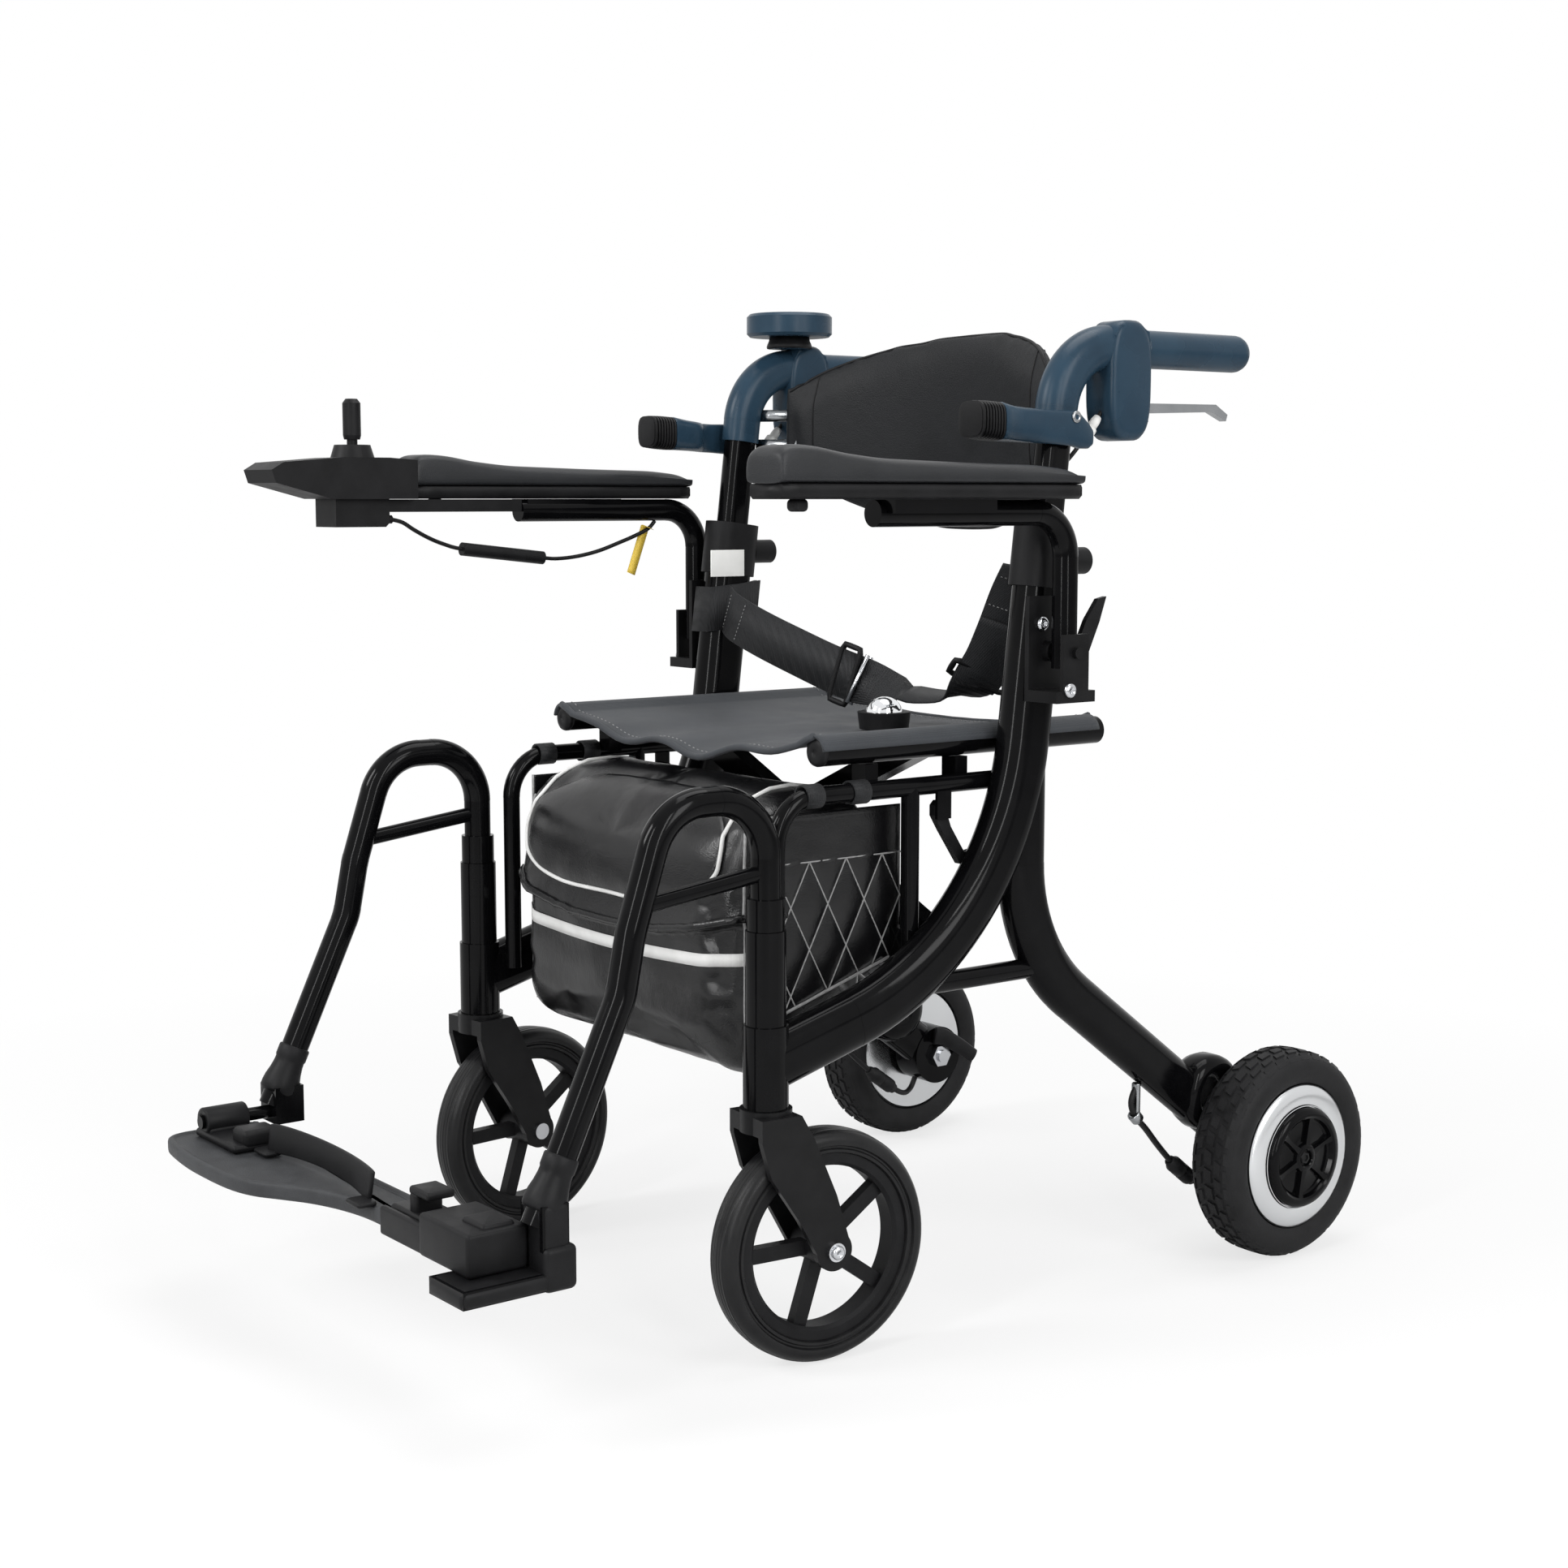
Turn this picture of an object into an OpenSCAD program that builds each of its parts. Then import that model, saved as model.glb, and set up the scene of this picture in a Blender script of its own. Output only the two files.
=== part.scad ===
// Folding power rollator that doubles as a transport chair.
// Front of the chair faces -Y, the occupant's left side is +X, the floor is Z = 0.
// Heights are measured from the floor and lengths from the caster stems.

/* [Side frame] */
// Distance of each side frame from the middle of the chair
frame_x = 232; // [225:1:240]
// Depth of the main tube, seen from the side
main_depth = 50; // [46:1:54]
// Width of the main tube, seen from the front
main_width = 36; // [34:0.5:37]
// Slope of the main tube where it leaves the caster stem, in degrees
front_rise = 15.5; // [13:0.5:17]
// Where the slopes of the main tube cross: length behind the stem
corner_y = 262; // [258:1:266]
// Where the slopes of the main tube cross: height
corner_z = 333; // [328:1:338]
// Radius of the large bend of the main tube
main_bend_r = 270; // [255:1:275]
// Backward lean of the upright, in degrees
upright_lean = 7; // [6:0.5:8]
// Height of the top of the upright
upright_top_z = 690; // [684:1:696]
// Depth of the rear leg tube
leg_depth = 45; // [42:1:48]
// Width of the rear leg tube
leg_width = 32; // [30:0.5:33]
// Bend radius of the rear leg
leg_bend_r = 160; // [150:1:165]
// Height of the bend of the rear leg, where its slopes cross
leg_corner_z = 321; // [315:1:326]
// Diameter of the bag rails and posts
rail_d = 16; // [14:0.5:18]
// Height of the bag rail
rail_z = 475; // [472:1:478]

/* [Wheels] */
// Diameter of all four wheels
wheel_d = 200; // [196:1:202]
// Width of the front tyres
front_tyre_w = 34; // [30:1:36]
// Width of the rear tyres
rear_tyre_w = 56; // [52:1:57]
// Distance of the caster axle behind its stem
caster_trail = 51; // [48:1:54]
// Outward turn of the parked casters, in degrees
caster_toe = 6; // [0:0.5:8]
// Diameter of the caster stem
stem_d = 16; // [14:0.5:18]
// Distance of the rear axle behind the caster stems
rear_axle_y = 579; // [570:1:590]
// Distance of the rear wheels from the middle of the chair
rear_wheel_x = 281; // [281:0.5:284]
// Diameter of the hub motor, where the tyre seats
motor_d = 140; // [134:1:144]
// Diameter of the motor axle
axle_d = 14; // [12:0.5:16]
// Diameter of the black hub cap
hub_cap_d = 98; // [90:1:104]

/* [Fold] */
// Distance of the lower brace pivots and seat tubes from the middle
brace_x = 198; // [196:0.5:199]
// Height of the lower brace pivots
brace_pivot_z = 335; // [330:1:340]
// Height of the seat tubes
seat_z = 510; // [507:1:513]
// Diameter of the seat tubes
seat_tube_d = 25; // [22:0.5:26]
// Front end of the seat tubes
seat_front_y = 80; // [74:1:90]
// Rear end of the seat tubes
seat_rear_y = 406; // [398:1:414]
// Width of the brace bars, seen from the front
bar_w = 24; // [20:1:26]
// Thickness of the brace bars
bar_t = 18; // [15:1:19]
// Diameter of the brace pivot studs
pivot_d = 12; // [10:0.5:14]

/* [Footrest] */
// Diameter of the hanger tube
hanger_d = 25; // [23:0.5:26]
// Height of the hanger loop's tube line
hanger_top_z = 482; // [476:1:490]
// Bend radius of the hanger loop
hanger_bend_r = 50; // [46:1:50]
// Top of the footplate
plate_top_z = 146; // [142:1:150]
// Thickness of the footplate
plate_t = 14; // [11:0.5:15]
// Front edge of the footplate
plate_front_y = -329; // [-340:1:-320]
// Rear edge of the footplate
plate_rear_y = -226; // [-228:0.5:-225]
// Diameter of the footplate hinge pin
plate_pin_d = 12; // [10:0.5:13]

/* [Armrest] */
// Distance of the arm tubes from the middle
arm_x = 275; // [274:0.5:277]
// Diameter of the arm tubes
arm_d = 22; // [20:0.5:22]
// Height of the level part of the arm tube
arm_z = 710; // [706:1:714]
// Height of the flip-up pivot
arm_pivot_z = 590; // [586:1:594]
// Length behind the stem of the upright part of the arm tube
arm_post_y = 291; // [288:1:294]
// Middle of the armrest pad, from the middle of the chair
pad_x = 287; // [286:0.5:288]
// Width of the armrest pad
pad_w = 49; // [45:1:49]
// Height of the armrest pad
pad_h = 40; // [36:1:42]
// Front end of the armrest pad
pad_front_y = -44; // [-46:1:-40]
// Rear end of the armrest pad
pad_rear_y = 281; // [272:1:286]

/* [Handle] */
// Depth of the telescoping handle tube
handle_depth = 34; // [32:0.5:36]
// Width of the telescoping handle tube
handle_width = 24; // [22:0.5:25]
// Height where the handle tube meets the arc
arc_start_z = 801; // [797:1:805]
// Bend radius of the handle arc
arc_r = 61.5; // [59:0.5:64]
// Depth of the handle arc
arc_depth = 39; // [39:0.5:41]
// Width of the handle arc
arc_width = 32; // [30:0.5:33]
// Diameter of the grip
grip_d = 34; // [32:0.5:35]
// Length of the grip
grip_l = 140; // [125:1:145]
// Diameter of the palm knob
knob_d = 88; // [84:1:90]
// Thickness of the palm knob
knob_t = 23; // [20:1:26]

/* [Soft parts] */
// Thickness of the seat sling
sling_t = 5; // [4:0.5:6]
// Sag of the seat sling in the middle
sling_sag = 13; // [8:1:15]
// Half width of the backrest pad
back_half = 200; // [195:1:204]
// Height of the backrest pad in the middle
back_h = 198; // [188:1:204]
// Height of the backrest pad at its ends
back_end_h = 38; // [34:1:44]
// How far the backrest pad bows back
back_bow = 62; // [50:1:66]
// Thickness of the backrest pad
back_t = 24; // [20:1:27]
// Gap between the bag's side and the bag rail
bag_gap = 13; // [11:0.5:19]
// Width of the lap belt webbing
belt_w = 46; // [42:1:48]

/* [Joystick] */
// Length of the joystick housing ahead of the pad
joy_l = 150; // [144:1:154]
// Width of the joystick housing
joy_w = 60; // [58:1:61]
// Diameter of the well that holds the gimbal
well_d = 30; // [29:0.5:32]
// Diameter of the joystick knob
stick_d = 17; // [15:0.5:19]
// Diameter of the joystick lead
lead_d = 4; // [3.5:0.1:4.5]

/* [Hidden] */
$fn = 48;

// Radial clearance of a pin that turns in its bore
run_fit = 0.05;
// Clearance between pieces that pass or rest on each other
gap = 0.3;
// Clearance between pieces that pass each other with room to spare
room = 2;
// Straight tubes run this far into their bends, which are drawn a hair fuller
bend_lap = 1;
bend_swell = 0.3;

// Places worked out from the sizes above
wheel_r = wheel_d / 2;
origin_y = (plate_front_y + rear_axle_y + wheel_r) / 2;
up = [sin(upright_lean), cos(upright_lean)];
main_start_z = corner_z - corner_y * tan(front_rise);
upright_top = [corner_y + (upright_top_z - corner_z) * tan(upright_lean), upright_top_z];
arc_start = [corner_y + (arc_start_z - corner_z) * tan(upright_lean), arc_start_z];
arc_centre = arc_start + arc_r * [up.y, -up.x];
grip_z = arc_centre.y + arc_r;
arc_corner = arc_start + arc_r * tan((90 - upright_lean) / 2) * up;
frame_inner_x = frame_x - main_width / 2;
frame_outer_x = frame_x + main_width / 2;

// Side frame details
leg_y = corner_y + 21;
leg_top_z = 500;
leg_aim = unit([rear_axle_y - leg_y, wheel_r - leg_corner_z]);
leg_end = [rear_axle_y, wheel_r] - 16 * leg_aim;
boss_d = 64;
boss_in_x = frame_x - leg_width / 2 - 1;
boss_out_x = rear_wheel_x - rear_tyre_w / 2 - room;
rail_x = frame_inner_x + 5 - rail_d / 2;
rail_front_y = 26;
rail_bend_r = 40;
post_y = 172;
strut_d = 18;
strut_z = 305;
strut_front_y = 178;
strut_rear_y = 322;
crown_bottom_z = wheel_d + 5;
crown_t = 19;
crown_top_z = crown_bottom_z + crown_t;
housing_d = 38;
housing_bottom_z = crown_top_z + gap;
housing_top_z = main_start_z + main_depth / 2 + 8;
stem_l = 42;
receiver_d = hanger_d + 9;
receiver_top_z = 372;
receiver_floor_z = housing_top_z + 6;
handle_bore_l = 150;

// Brace details
brace_rise = seat_z - brace_pivot_z;
brace_span = 2 * brace_x;
brace_l = norm([brace_span, brace_rise]);
brace_angle = atan2(brace_rise, brace_span);
gusset_t = 12;
gusset_back_y = post_y + gusset_t / 2;
front_bar_y = gusset_back_y + 6;
rear_bar_y = front_bar_y + bar_t + 4;
stud_end_y = rear_bar_y + bar_t + 4;
saddle_top_z = seat_z - seat_tube_d / 2 - gap;
latch_lug = [post_y + 34, rail_z - 22];
bar_relief = 6;
hook_t = 7;
hook_in_x = frame_inner_x - 0.7 - hook_t;
hook_stud_d = 8;
lug_t = 3;

// Rear wheel details, along X from the middle of the wheel
motor_half = 24;
motor_wall = 5;
motor_cone = 6;
cap_seat = motor_half + 3;
cap_t = 10;
nut_t = 7;

// Caster details, along the wheel's own axle
fork_gap = front_tyre_w / 2 + 3;
fork_t = 6.5;
front_axle_d = 8;
front_rim_r = 80;

// Footrest details
leg_points = [[-132, 385], [-142, 335], [-222, 165]];
hanger_bar_y = -118;
hanger_bar_z = hanger_top_z - 62;
hanger_bar_d = 14;
hanger_sleeve_l = 26;
foot_half = 16;
left_foot_l = 24;
right_foot_l = 28;
shelf_t = 14;
shelf_in = 34;
shelf_w = 52;
shelf_front = 32;
foot_top_z = 184;
plate_pin_z = plate_top_z + 14;
plate_bottom_z = plate_top_z - plate_t;
knuckle_d = 26;
plate_near_x = frame_x - 4;
plate_far_x = -frame_x - 30;
strap_h = 30;
strap_t = 5;

// Armrest details
arm_front_y = 76;
arm_bend_r = 38;
arm_bolt_d = 10;
arm_seat_in = 9;
arm_seat_w = 30;
arm_seat_l = 110;
bracket_in_x = frame_outer_x + 0.2;
bracket_plate = 5;
bracket_low_z = 547;
bracket_high_z = 638;
pad_bottom_z = arm_z + arm_d / 2 + gap;
latch_pivot = [arm_post_y + 37, arm_pivot_z + 2];
latch_in_x = bracket_in_x + bracket_plate + gap;
latch_t = 5;

// Handle details
slab_low_z = 780;
slab_l = 42;
slab_y = arc_centre.x - 6;
brake_pivot = [slab_y + 30, slab_low_z + 22];
brake_t = 8;
brake_pin_d = 6;
lock_pivot = arc_start + [-3, -9];
lock_stud_d = 8;
lock_in_x = frame_x + arc_width / 2 + 1;
lock_t = 11;
grip_y = slab_y + slab_l + gap;
grip_core_d = 20;
knob_neck_d = 40;
knob_x = frame_x - 16;
knob_y = arc_centre.x - 12;
knob_neck_h = 12;
collar_h = 46;
collar_wall = 2;
collar_lip = 6;

// Joystick details
joy_x = -pad_x;
joy_rear_y = pad_front_y - gap;
joy_top_z = 760;
joy_low_z = pad_bottom_z;
stick_y = joy_rear_y - 53;
joy_pivot_z = joy_top_z - 12;
joy_collar_d = 42;
joy_collar_h = 12;
well_floor_z = joy_top_z - 30;
gimbal_d = well_d - 4;
gimbal_bore = 16;
gimbal_h = 8;
trunnion_d = 5;
stick_pin_d = 4;
stick_shaft_d = 10;
stick_top_z = 815;
joy_box_y = [stick_y - 29, stick_y + 27];
joy_box_low_z = 695;

// Route of the joystick lead, as length behind the stem and height
lead_front = [[-64, 702], [-52, 699], [-40, 692], [-24, 684], [-8, 678], [12, 673]];
lead_rear = [[104, 663], [122, 662], [145, 664], [170, 669], [195, 677], [215, 684], [231, 691],
  [239, 698.6]];
barrel_d = 13;
relief_d = 8;

// Route of the motor lead, from the axle boss to the underside of the rear leg
motor_route = [[0, 559.5, 74], [-2, 551, 63], [-7, 536, 61], [-8, 516, 72], [-6, 492, 90],
  [-3, 468, 112], [0, 448, 132], [0, 434, 146], [0, 428, 158], [0, 430, 168], [0, 437, 177.4]];
motor_lead_d = 6;
connector_d = 16;

// Belt route from the right collar to the left collar
belt_route = [[-210.6, 292, 655], [-190, 288, 634], [-150, 286, 603], [-95, 288, 576], [-40, 293, 556],
  [10, 306, 542], [52, 330, 535], [84, 346, 540], [116, 344, 566], [146, 335, 598],
  [178, 322, 632], [210.6, 308, 660]];
belt_t = 3;
buckle_at = [60, 268];
buckle_d = 50;
button_d = 34;
button_travel = 2.5;
button_seat = 6;
buckle_h = 16;
buckle_z = sling_low(buckle_at.x + buckle_d / 2, (buckle_at.y - seat_front_y) / (seat_rear_y - seat_front_y))
  + sling_t + gap;

// Seat sling: places across the chair where its edge loops are set
sling_columns = [-208, -203, -198, -192, -189, -186, -172, -150, -120, -90, -60, -30, 0, 30, 60, 90, 120, 150,
  172, 186, 189, 192, 198, 203, 208] * (brace_x / 198);

// Backrest: its ends reach forward to the inner faces of the handle arcs
back_end_y = arc_start.x + 24;
back_mid_z = 784;
back_end_z = back_mid_z + 16;
back_tip = (frame_x - arc_width / 2 - gap - bend_swell) / back_half;

// Bag and battery
bag_half = rail_x - rail_d / 2 - bag_gap;
bag_low_z = 222;
bag_top_z = rail_z - 0.5;
flange_l = 60;
flange_t = 6;
bag_front_y = 8;
bag_rear_y = post_y - 16;
bag_wall = 6;
bag_floor_z = bag_low_z + 20;
battery_size = [92, 96, 150];

function unit(v) = v / norm(v);
function turn_between(a, b) = atan2(a.x * b.y - a.y * b.x, a * b);
// Point on a unit circle, pushed towards its square as power goes down
function squared_circle(angle, power) = [
  sign(cos(angle)) * pow(abs(cos(angle)), power),
  sign(sin(angle)) * pow(abs(sin(angle)), power)
];
// One point of a smooth curve through b and c
function spline_point(a, b, c, d, t) =
  0.5 * (2 * b + (c - a) * t + (2 * a - 5 * b + 4 * c - d) * t * t
  + (3 * b - a - 3 * c + d) * t * t * t);
function spline(route, steps) = [
  for (i = [0 : len(route) - 2])
    for (k = [0 : steps - 1])
      spline_point(route[max(i - 1, 0)], route[i], route[i + 1],
        route[min(i + 2, len(route) - 1)], k / steps),
  route[len(route) - 1]
];
function tangent(path, i) =
  unit(path[min(i + 1, len(path) - 1)] - path[max(i - 1, 0)]);
// Ring of points round a path, with its first side towards +X
function path_ring(at, along, radius, sides) =
  let (across = unit([1, 0, 0] - along * along.x))
  let (upward = cross(along, across))
  [for (k = [0 : sides - 1])
    let (angle = (k + 0.5) * 360 / sides)
    at + radius * (across * cos(angle) + upward * sin(angle))];

// Closed skin over rings of points that turn right-handed about the way they follow
module loft(rings) {
  count = len(rings[0]);
  last = (len(rings) - 1) * count;
  sides = [
    for (ring = [0 : len(rings) - 2])
      for (i = [0 : count - 1])
        let (a = ring * count + i)
        let (b = ring * count + (i + 1) % count)
        each [[a, b + count, b], [a, a + count, b + count]]
  ];
  start_cap = [
    for (i = [0 : count / 2 - 2])
      each [[i, i + 1, count - 2 - i], [i, count - 2 - i, count - 1 - i]]
  ];
  end_cap = [for (face = start_cap) [last + face.x, last + face.z, last + face.y]];
  polyhedron([for (ring = rings) each ring], concat(sides, start_cap, end_cap));
}

// Round cord along a route
module cord(route, diameter, steps) {
  path = spline(route, steps);
  loft([for (i = [0 : len(path) - 1]) path_ring(path[i], tangent(path, i), diameter / 2, 8)]);
}

// Everything is drawn from the stems and moved once to the middle of the footprint
module placed() translate([0, -origin_y, 0]) children();
module mirrored() mirror([1, 0, 0]) children();
// Side view: first axis runs along Y, second along Z, thickness along X
module side_plane(x) translate([x, 0, 0]) rotate([90, 0, 90]) children();
module side_plate(x, thickness) side_plane(x) linear_extrude(thickness) children();
// Round bar along X, from x1 to x2, at a side-view point
module cross_rod(at, diameter, x1, x2) side_plane(x1)
  translate([at.x, at.y, 0]) cylinder(d = diameter, h = x2 - x1);
// Round bar along Y
module long_rod(x, z, diameter, y1, y2)
  translate([x, y1, z]) rotate([-90, 0, 0]) cylinder(d = diameter, h = y2 - y1);

module tube_section(depth, width) {
  if (depth == width) circle(d = depth);
  else {
    square([depth - width, width], center = true);
    for (side = [-1, 1]) translate([side * (depth - width) / 2, 0]) circle(d = width);
  }
}

// Bent tube in the side view, with one bend radius for each inner point
module bent_tube(points, radii, depth, width) {
  ends = len(points) - 1;
  ways = [for (i = [0 : ends - 1]) unit(points[i + 1] - points[i])];
  turns = [for (i = [0 : ends]) i == 0 || i == ends ? 0 : turn_between(ways[i - 1], ways[i])];
  trims = [for (i = [0 : ends]) i == 0 || i == ends ? 0 : radii[i - 1] * tan(abs(turns[i]) / 2)];
  for (i = [0 : ends - 1]) {
    lap_before = i == 0 ? 0 : bend_lap;
    lap_after = i == ends - 1 ? 0 : bend_lap;
    from = points[i] + ways[i] * (trims[i] - lap_before);
    length = norm(points[i + 1] - points[i]) - trims[i] - trims[i + 1] + lap_before + lap_after;
    translate([from.x, from.y, 0]) rotate([0, 0, atan2(ways[i].y, ways[i].x)])
      rotate([90, 0, 90]) linear_extrude(length) tube_section(depth, width);
  }
  for (i = [1 : 1 : ends - 1]) {
    side = sign(turns[i]);
    radius = radii[i - 1];
    from = points[i] - ways[i - 1] * trims[i];
    centre = from + side * radius * [-ways[i - 1].y, ways[i - 1].x];
    first = atan2(from.y - centre.y, from.x - centre.x);
    translate([centre.x, centre.y, 0]) rotate([0, 0, side > 0 ? first : first + turns[i]])
      rotate_extrude(angle = abs(turns[i])) translate([radius, 0])
      tube_section(depth + bend_swell, width + bend_swell);
  }
}

module upright_run(from_z, to_z, depth, width) {
  bent_tube([for (z = [from_z, to_z]) [corner_y + (z - corner_z) * tan(upright_lean), z]],
    [], depth, width);
}

// Side frame, left hand
module side_frame() {
  difference() {
    union() {
      side_plane(frame_x) {
        bent_tube([[0, main_start_z], [corner_y, corner_z], upright_top], [main_bend_r],
          main_depth, main_width);
        bent_tube([[leg_y, leg_top_z], [leg_y, leg_corner_z], leg_end], [leg_bend_r],
          leg_depth, leg_width);
        bent_tube([[strut_front_y, strut_z], [strut_rear_y, strut_z]], [], strut_d, strut_d);
      }
      translate([frame_x, 0, housing_bottom_z])
        cylinder(d = housing_d, h = housing_top_z - housing_bottom_z);
      translate([frame_x, 0, main_start_z])
        cylinder(d = receiver_d, h = receiver_top_z - main_start_z);
      cross_rod([rear_axle_y, wheel_r], boss_d, boss_in_x, boss_out_x);
      bag_rail();
      brace_gusset();
      fold_latch_lug();
    }
    translate([frame_x, 0, housing_bottom_z - 1]) cylinder(d = stem_d + 2 * run_fit, h = stem_l + 2);
    translate([frame_x, 0, receiver_floor_z])
      cylinder(d = hanger_d + 2 * run_fit, h = receiver_top_z);
    side_plane(frame_x) upright_run(upright_top_z - handle_bore_l, upright_top_z + 10,
      handle_depth + 2 * gap, handle_width + 2 * gap);
    cross_rod([rear_axle_y, wheel_r], axle_d + 2 * run_fit, boss_in_x - 10, boss_out_x + 10);
  }
  long_rod(brace_x, brace_pivot_z, pivot_d, gusset_back_y - 1, stud_end_y);
}

// Tube loop that carries the bag
module bag_rail() {
  side_plane(rail_x) {
    bent_tube([[rail_front_y, main_start_z + 8], [rail_front_y, rail_z], [leg_y - 12, rail_z]],
      [rail_bend_r], rail_d, rail_d);
    bent_tube([[post_y, corner_z - 2], [post_y, rail_z]], [], rail_d, rail_d);
  }
  for (y = [post_y - 40, post_y + 62])
    translate([brace_x, y, (rail_z + saddle_top_z) / 2])
      cube([18, 14, saddle_top_z - rail_z], center = true);
}

// Plate on the rear post that holds the brace stud
module brace_gusset() {
  gusset_half = bar_w / 2 + 4;
  translate([brace_x - gusset_half, post_y - gusset_t / 2, brace_pivot_z - gusset_half])
    cube([frame_inner_x + 5 - brace_x + gusset_half, gusset_t, 2 * gusset_half]);
}

module fold_latch_lug() {
  half = hook_stud_d;
  translate([hook_in_x + hook_t + 0.7, latch_lug.x - half, latch_lug.y - half])
    cube([lug_t, 2 * half, rail_z - latch_lug.y + half]);
  cross_rod(latch_lug, hook_stud_d, hook_in_x - 1, hook_in_x + hook_t + 2);
}

module left_side_frame() placed() color("#17181a") side_frame();
module right_side_frame() placed() color("#17181a") mirrored() side_frame();

// Clamp collar round the top of the upright
module height_collar() {
  side_plane(frame_x) difference() {
    union() {
      upright_run(upright_top_z - collar_h, upright_top_z + collar_lip,
        main_depth + 4 * collar_wall, main_width + 2 * collar_wall);
      translate([upright_top.x + main_depth / 2 - 2, upright_top_z - collar_h / 2, 0])
        rotate([0, 90, 0]) cylinder(d = 24, h = 26);
    }
    upright_run(upright_top_z - collar_h - 10, upright_top_z + 0.2, main_depth + 0.4, main_width + 0.4);
    upright_run(upright_top_z - 5, upright_top_z + collar_lip + 10,
      handle_depth + 2 * gap, handle_width + 2 * gap);
  }
}
module left_height_collar() placed() color("#1d1e20") height_collar();
module right_height_collar() placed() color("#1d1e20") mirrored() height_collar();

// Clevis that holds the armrest pivot on the upright
module arm_bracket() {
  ear_x = arm_x + arm_d / 2 + gap;
  ear_t = 4;
  wing_y = arm_post_y - 23;
  wing_l = 46;
  side_plate(bracket_in_x, bracket_plate) translate([wing_y, bracket_low_z])
    square([wing_l, bracket_high_z - bracket_low_z]);
  side_plate(bracket_in_x, bracket_plate) translate([wing_y, latch_pivot.y - 10])
    square([latch_pivot.x + 9 - wing_y, 20]);
  translate([bracket_in_x, wing_y, bracket_low_z]) cube([ear_x + ear_t - bracket_in_x, wing_l, 10]);
  side_plate(ear_x, ear_t) translate([wing_y + 8, bracket_low_z])
    square([wing_l - 16, arm_pivot_z + 16 - bracket_low_z]);
  cross_rod([arm_post_y, arm_pivot_z], arm_bolt_d, bracket_in_x + 1, ear_x + ear_t + 4);
  cross_rod([arm_post_y, arm_pivot_z], arm_bolt_d + 8, bracket_in_x + 1, arm_x - arm_d / 2 - gap);
  cross_rod(latch_pivot, 7, bracket_in_x + 1, latch_in_x + latch_t + 2);
}
module left_arm_bracket() placed() color("#1b1c1e") arm_bracket();
module right_arm_bracket() placed() color("#1b1c1e") mirrored() arm_bracket();

// Stator and fixed axle of the hub motor, with its nut
module motor_axle() {
  axle_at = [rear_axle_y, wheel_r];
  cross_rod(axle_at, axle_d, boss_in_x - nut_t - 3, rear_wheel_x + motor_half + 1);
  cross_rod(axle_at, motor_d - 30, rear_wheel_x - motor_half + motor_wall + 3,
    rear_wheel_x + motor_half - motor_wall - 3);
  side_plane(boss_in_x - nut_t) translate([axle_at.x, axle_at.y, 0])
    cylinder(d = axle_d + 12, h = nut_t - 0.2, $fn = 6);
}
module left_motor_axle() placed() color("#5a5c60") motor_axle();
module right_motor_axle() placed() color("#5a5c60") mirrored() motor_axle();

// Lead from the motor to the inside of the rear leg, with its connector
module motor_lead() {
  route = [for (p = motor_route) [p.x + frame_x, p.y, p.z]];
  cord(route, motor_lead_d, 2);
  plug_way = unit(route[4] - route[3]);
  translate(route[3] - 6 * plug_way) rotate([acos(plug_way.z), 0, 0])
    cylinder(d = connector_d, h = 36);
}
module left_motor_lead() placed() color("#101113") motor_lead();
module right_motor_lead() placed() color("#101113") mirrored() motor_lead();

// Turned shape about the rear axle; profile is radius against distance along X
module rear_turned(profile) translate([rear_wheel_x, rear_axle_y, wheel_r]) rotate([0, 90, 0])
  rotate_extrude($fn = 72) polygon(profile);

module motor_shell() {
  motor_r = motor_d / 2 - run_fit;
  face_r = hub_cap_d / 2;
  difference() {
    rear_turned([[0, -motor_half], [motor_r - 3, -motor_half], [motor_r, -motor_half + 3],
      [motor_r, motor_half - 3], [motor_r - 2, motor_half], [face_r, motor_half + motor_cone],
      [face_r, cap_seat], [0, cap_seat]]);
    rear_turned([[0, -motor_half + motor_wall], [motor_r - 8, -motor_half + motor_wall],
      [motor_r - 8, motor_half - motor_wall], [0, motor_half - motor_wall]]);
    cross_rod([rear_axle_y, wheel_r], axle_d + 2 * run_fit, rear_wheel_x - motor_half - 5,
      rear_wheel_x + motor_half + 1.5);
  }
}
module left_motor_shell() placed() color("#c9cbce") motor_shell();
module right_motor_shell() placed() color("#c9cbce") mirrored() motor_shell();

module hub_cap() {
  cap_r = hub_cap_d / 2 - 1;
  difference() {
    rear_turned([[0, cap_seat + run_fit], [cap_r, cap_seat + run_fit], [cap_r, cap_seat + cap_t - 5],
      [cap_r - 6, cap_seat + cap_t - 1], [cap_r - 14, cap_seat + cap_t], [0, cap_seat + cap_t]]);
    rear_turned([[16, cap_seat + cap_t - 3], [30, cap_seat + cap_t - 3], [34, cap_seat + cap_t + 1],
      [16, cap_seat + cap_t + 1]]);
  }
}
module left_hub_cap() placed() color("#1a1b1d") hub_cap();
module right_hub_cap() placed() color("#1a1b1d") mirrored() hub_cap();

module rear_tyre() {
  half = rear_tyre_w / 2;
  seat_r = motor_d / 2;
  rear_turned([[seat_r, 4 - half], [seat_r + 10, -half], [wheel_r - 9, 1 - half],
    [wheel_r - 2, 8 - half], [wheel_r, 18 - half], [wheel_r, half - 18], [wheel_r - 2, half - 8],
    [wheel_r - 9, half - 1], [seat_r + 10, half], [seat_r, half - 4]]);
}
module left_rear_tyre() placed() color("#232427") rear_tyre();
module right_rear_tyre() placed() color("#232427") mirrored() rear_tyre();

// Caster pieces are drawn straight behind the stem and turned by the toe
module caster_turned() translate([frame_x, 0, 0]) rotate([0, 0, -caster_toe]) children();
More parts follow.
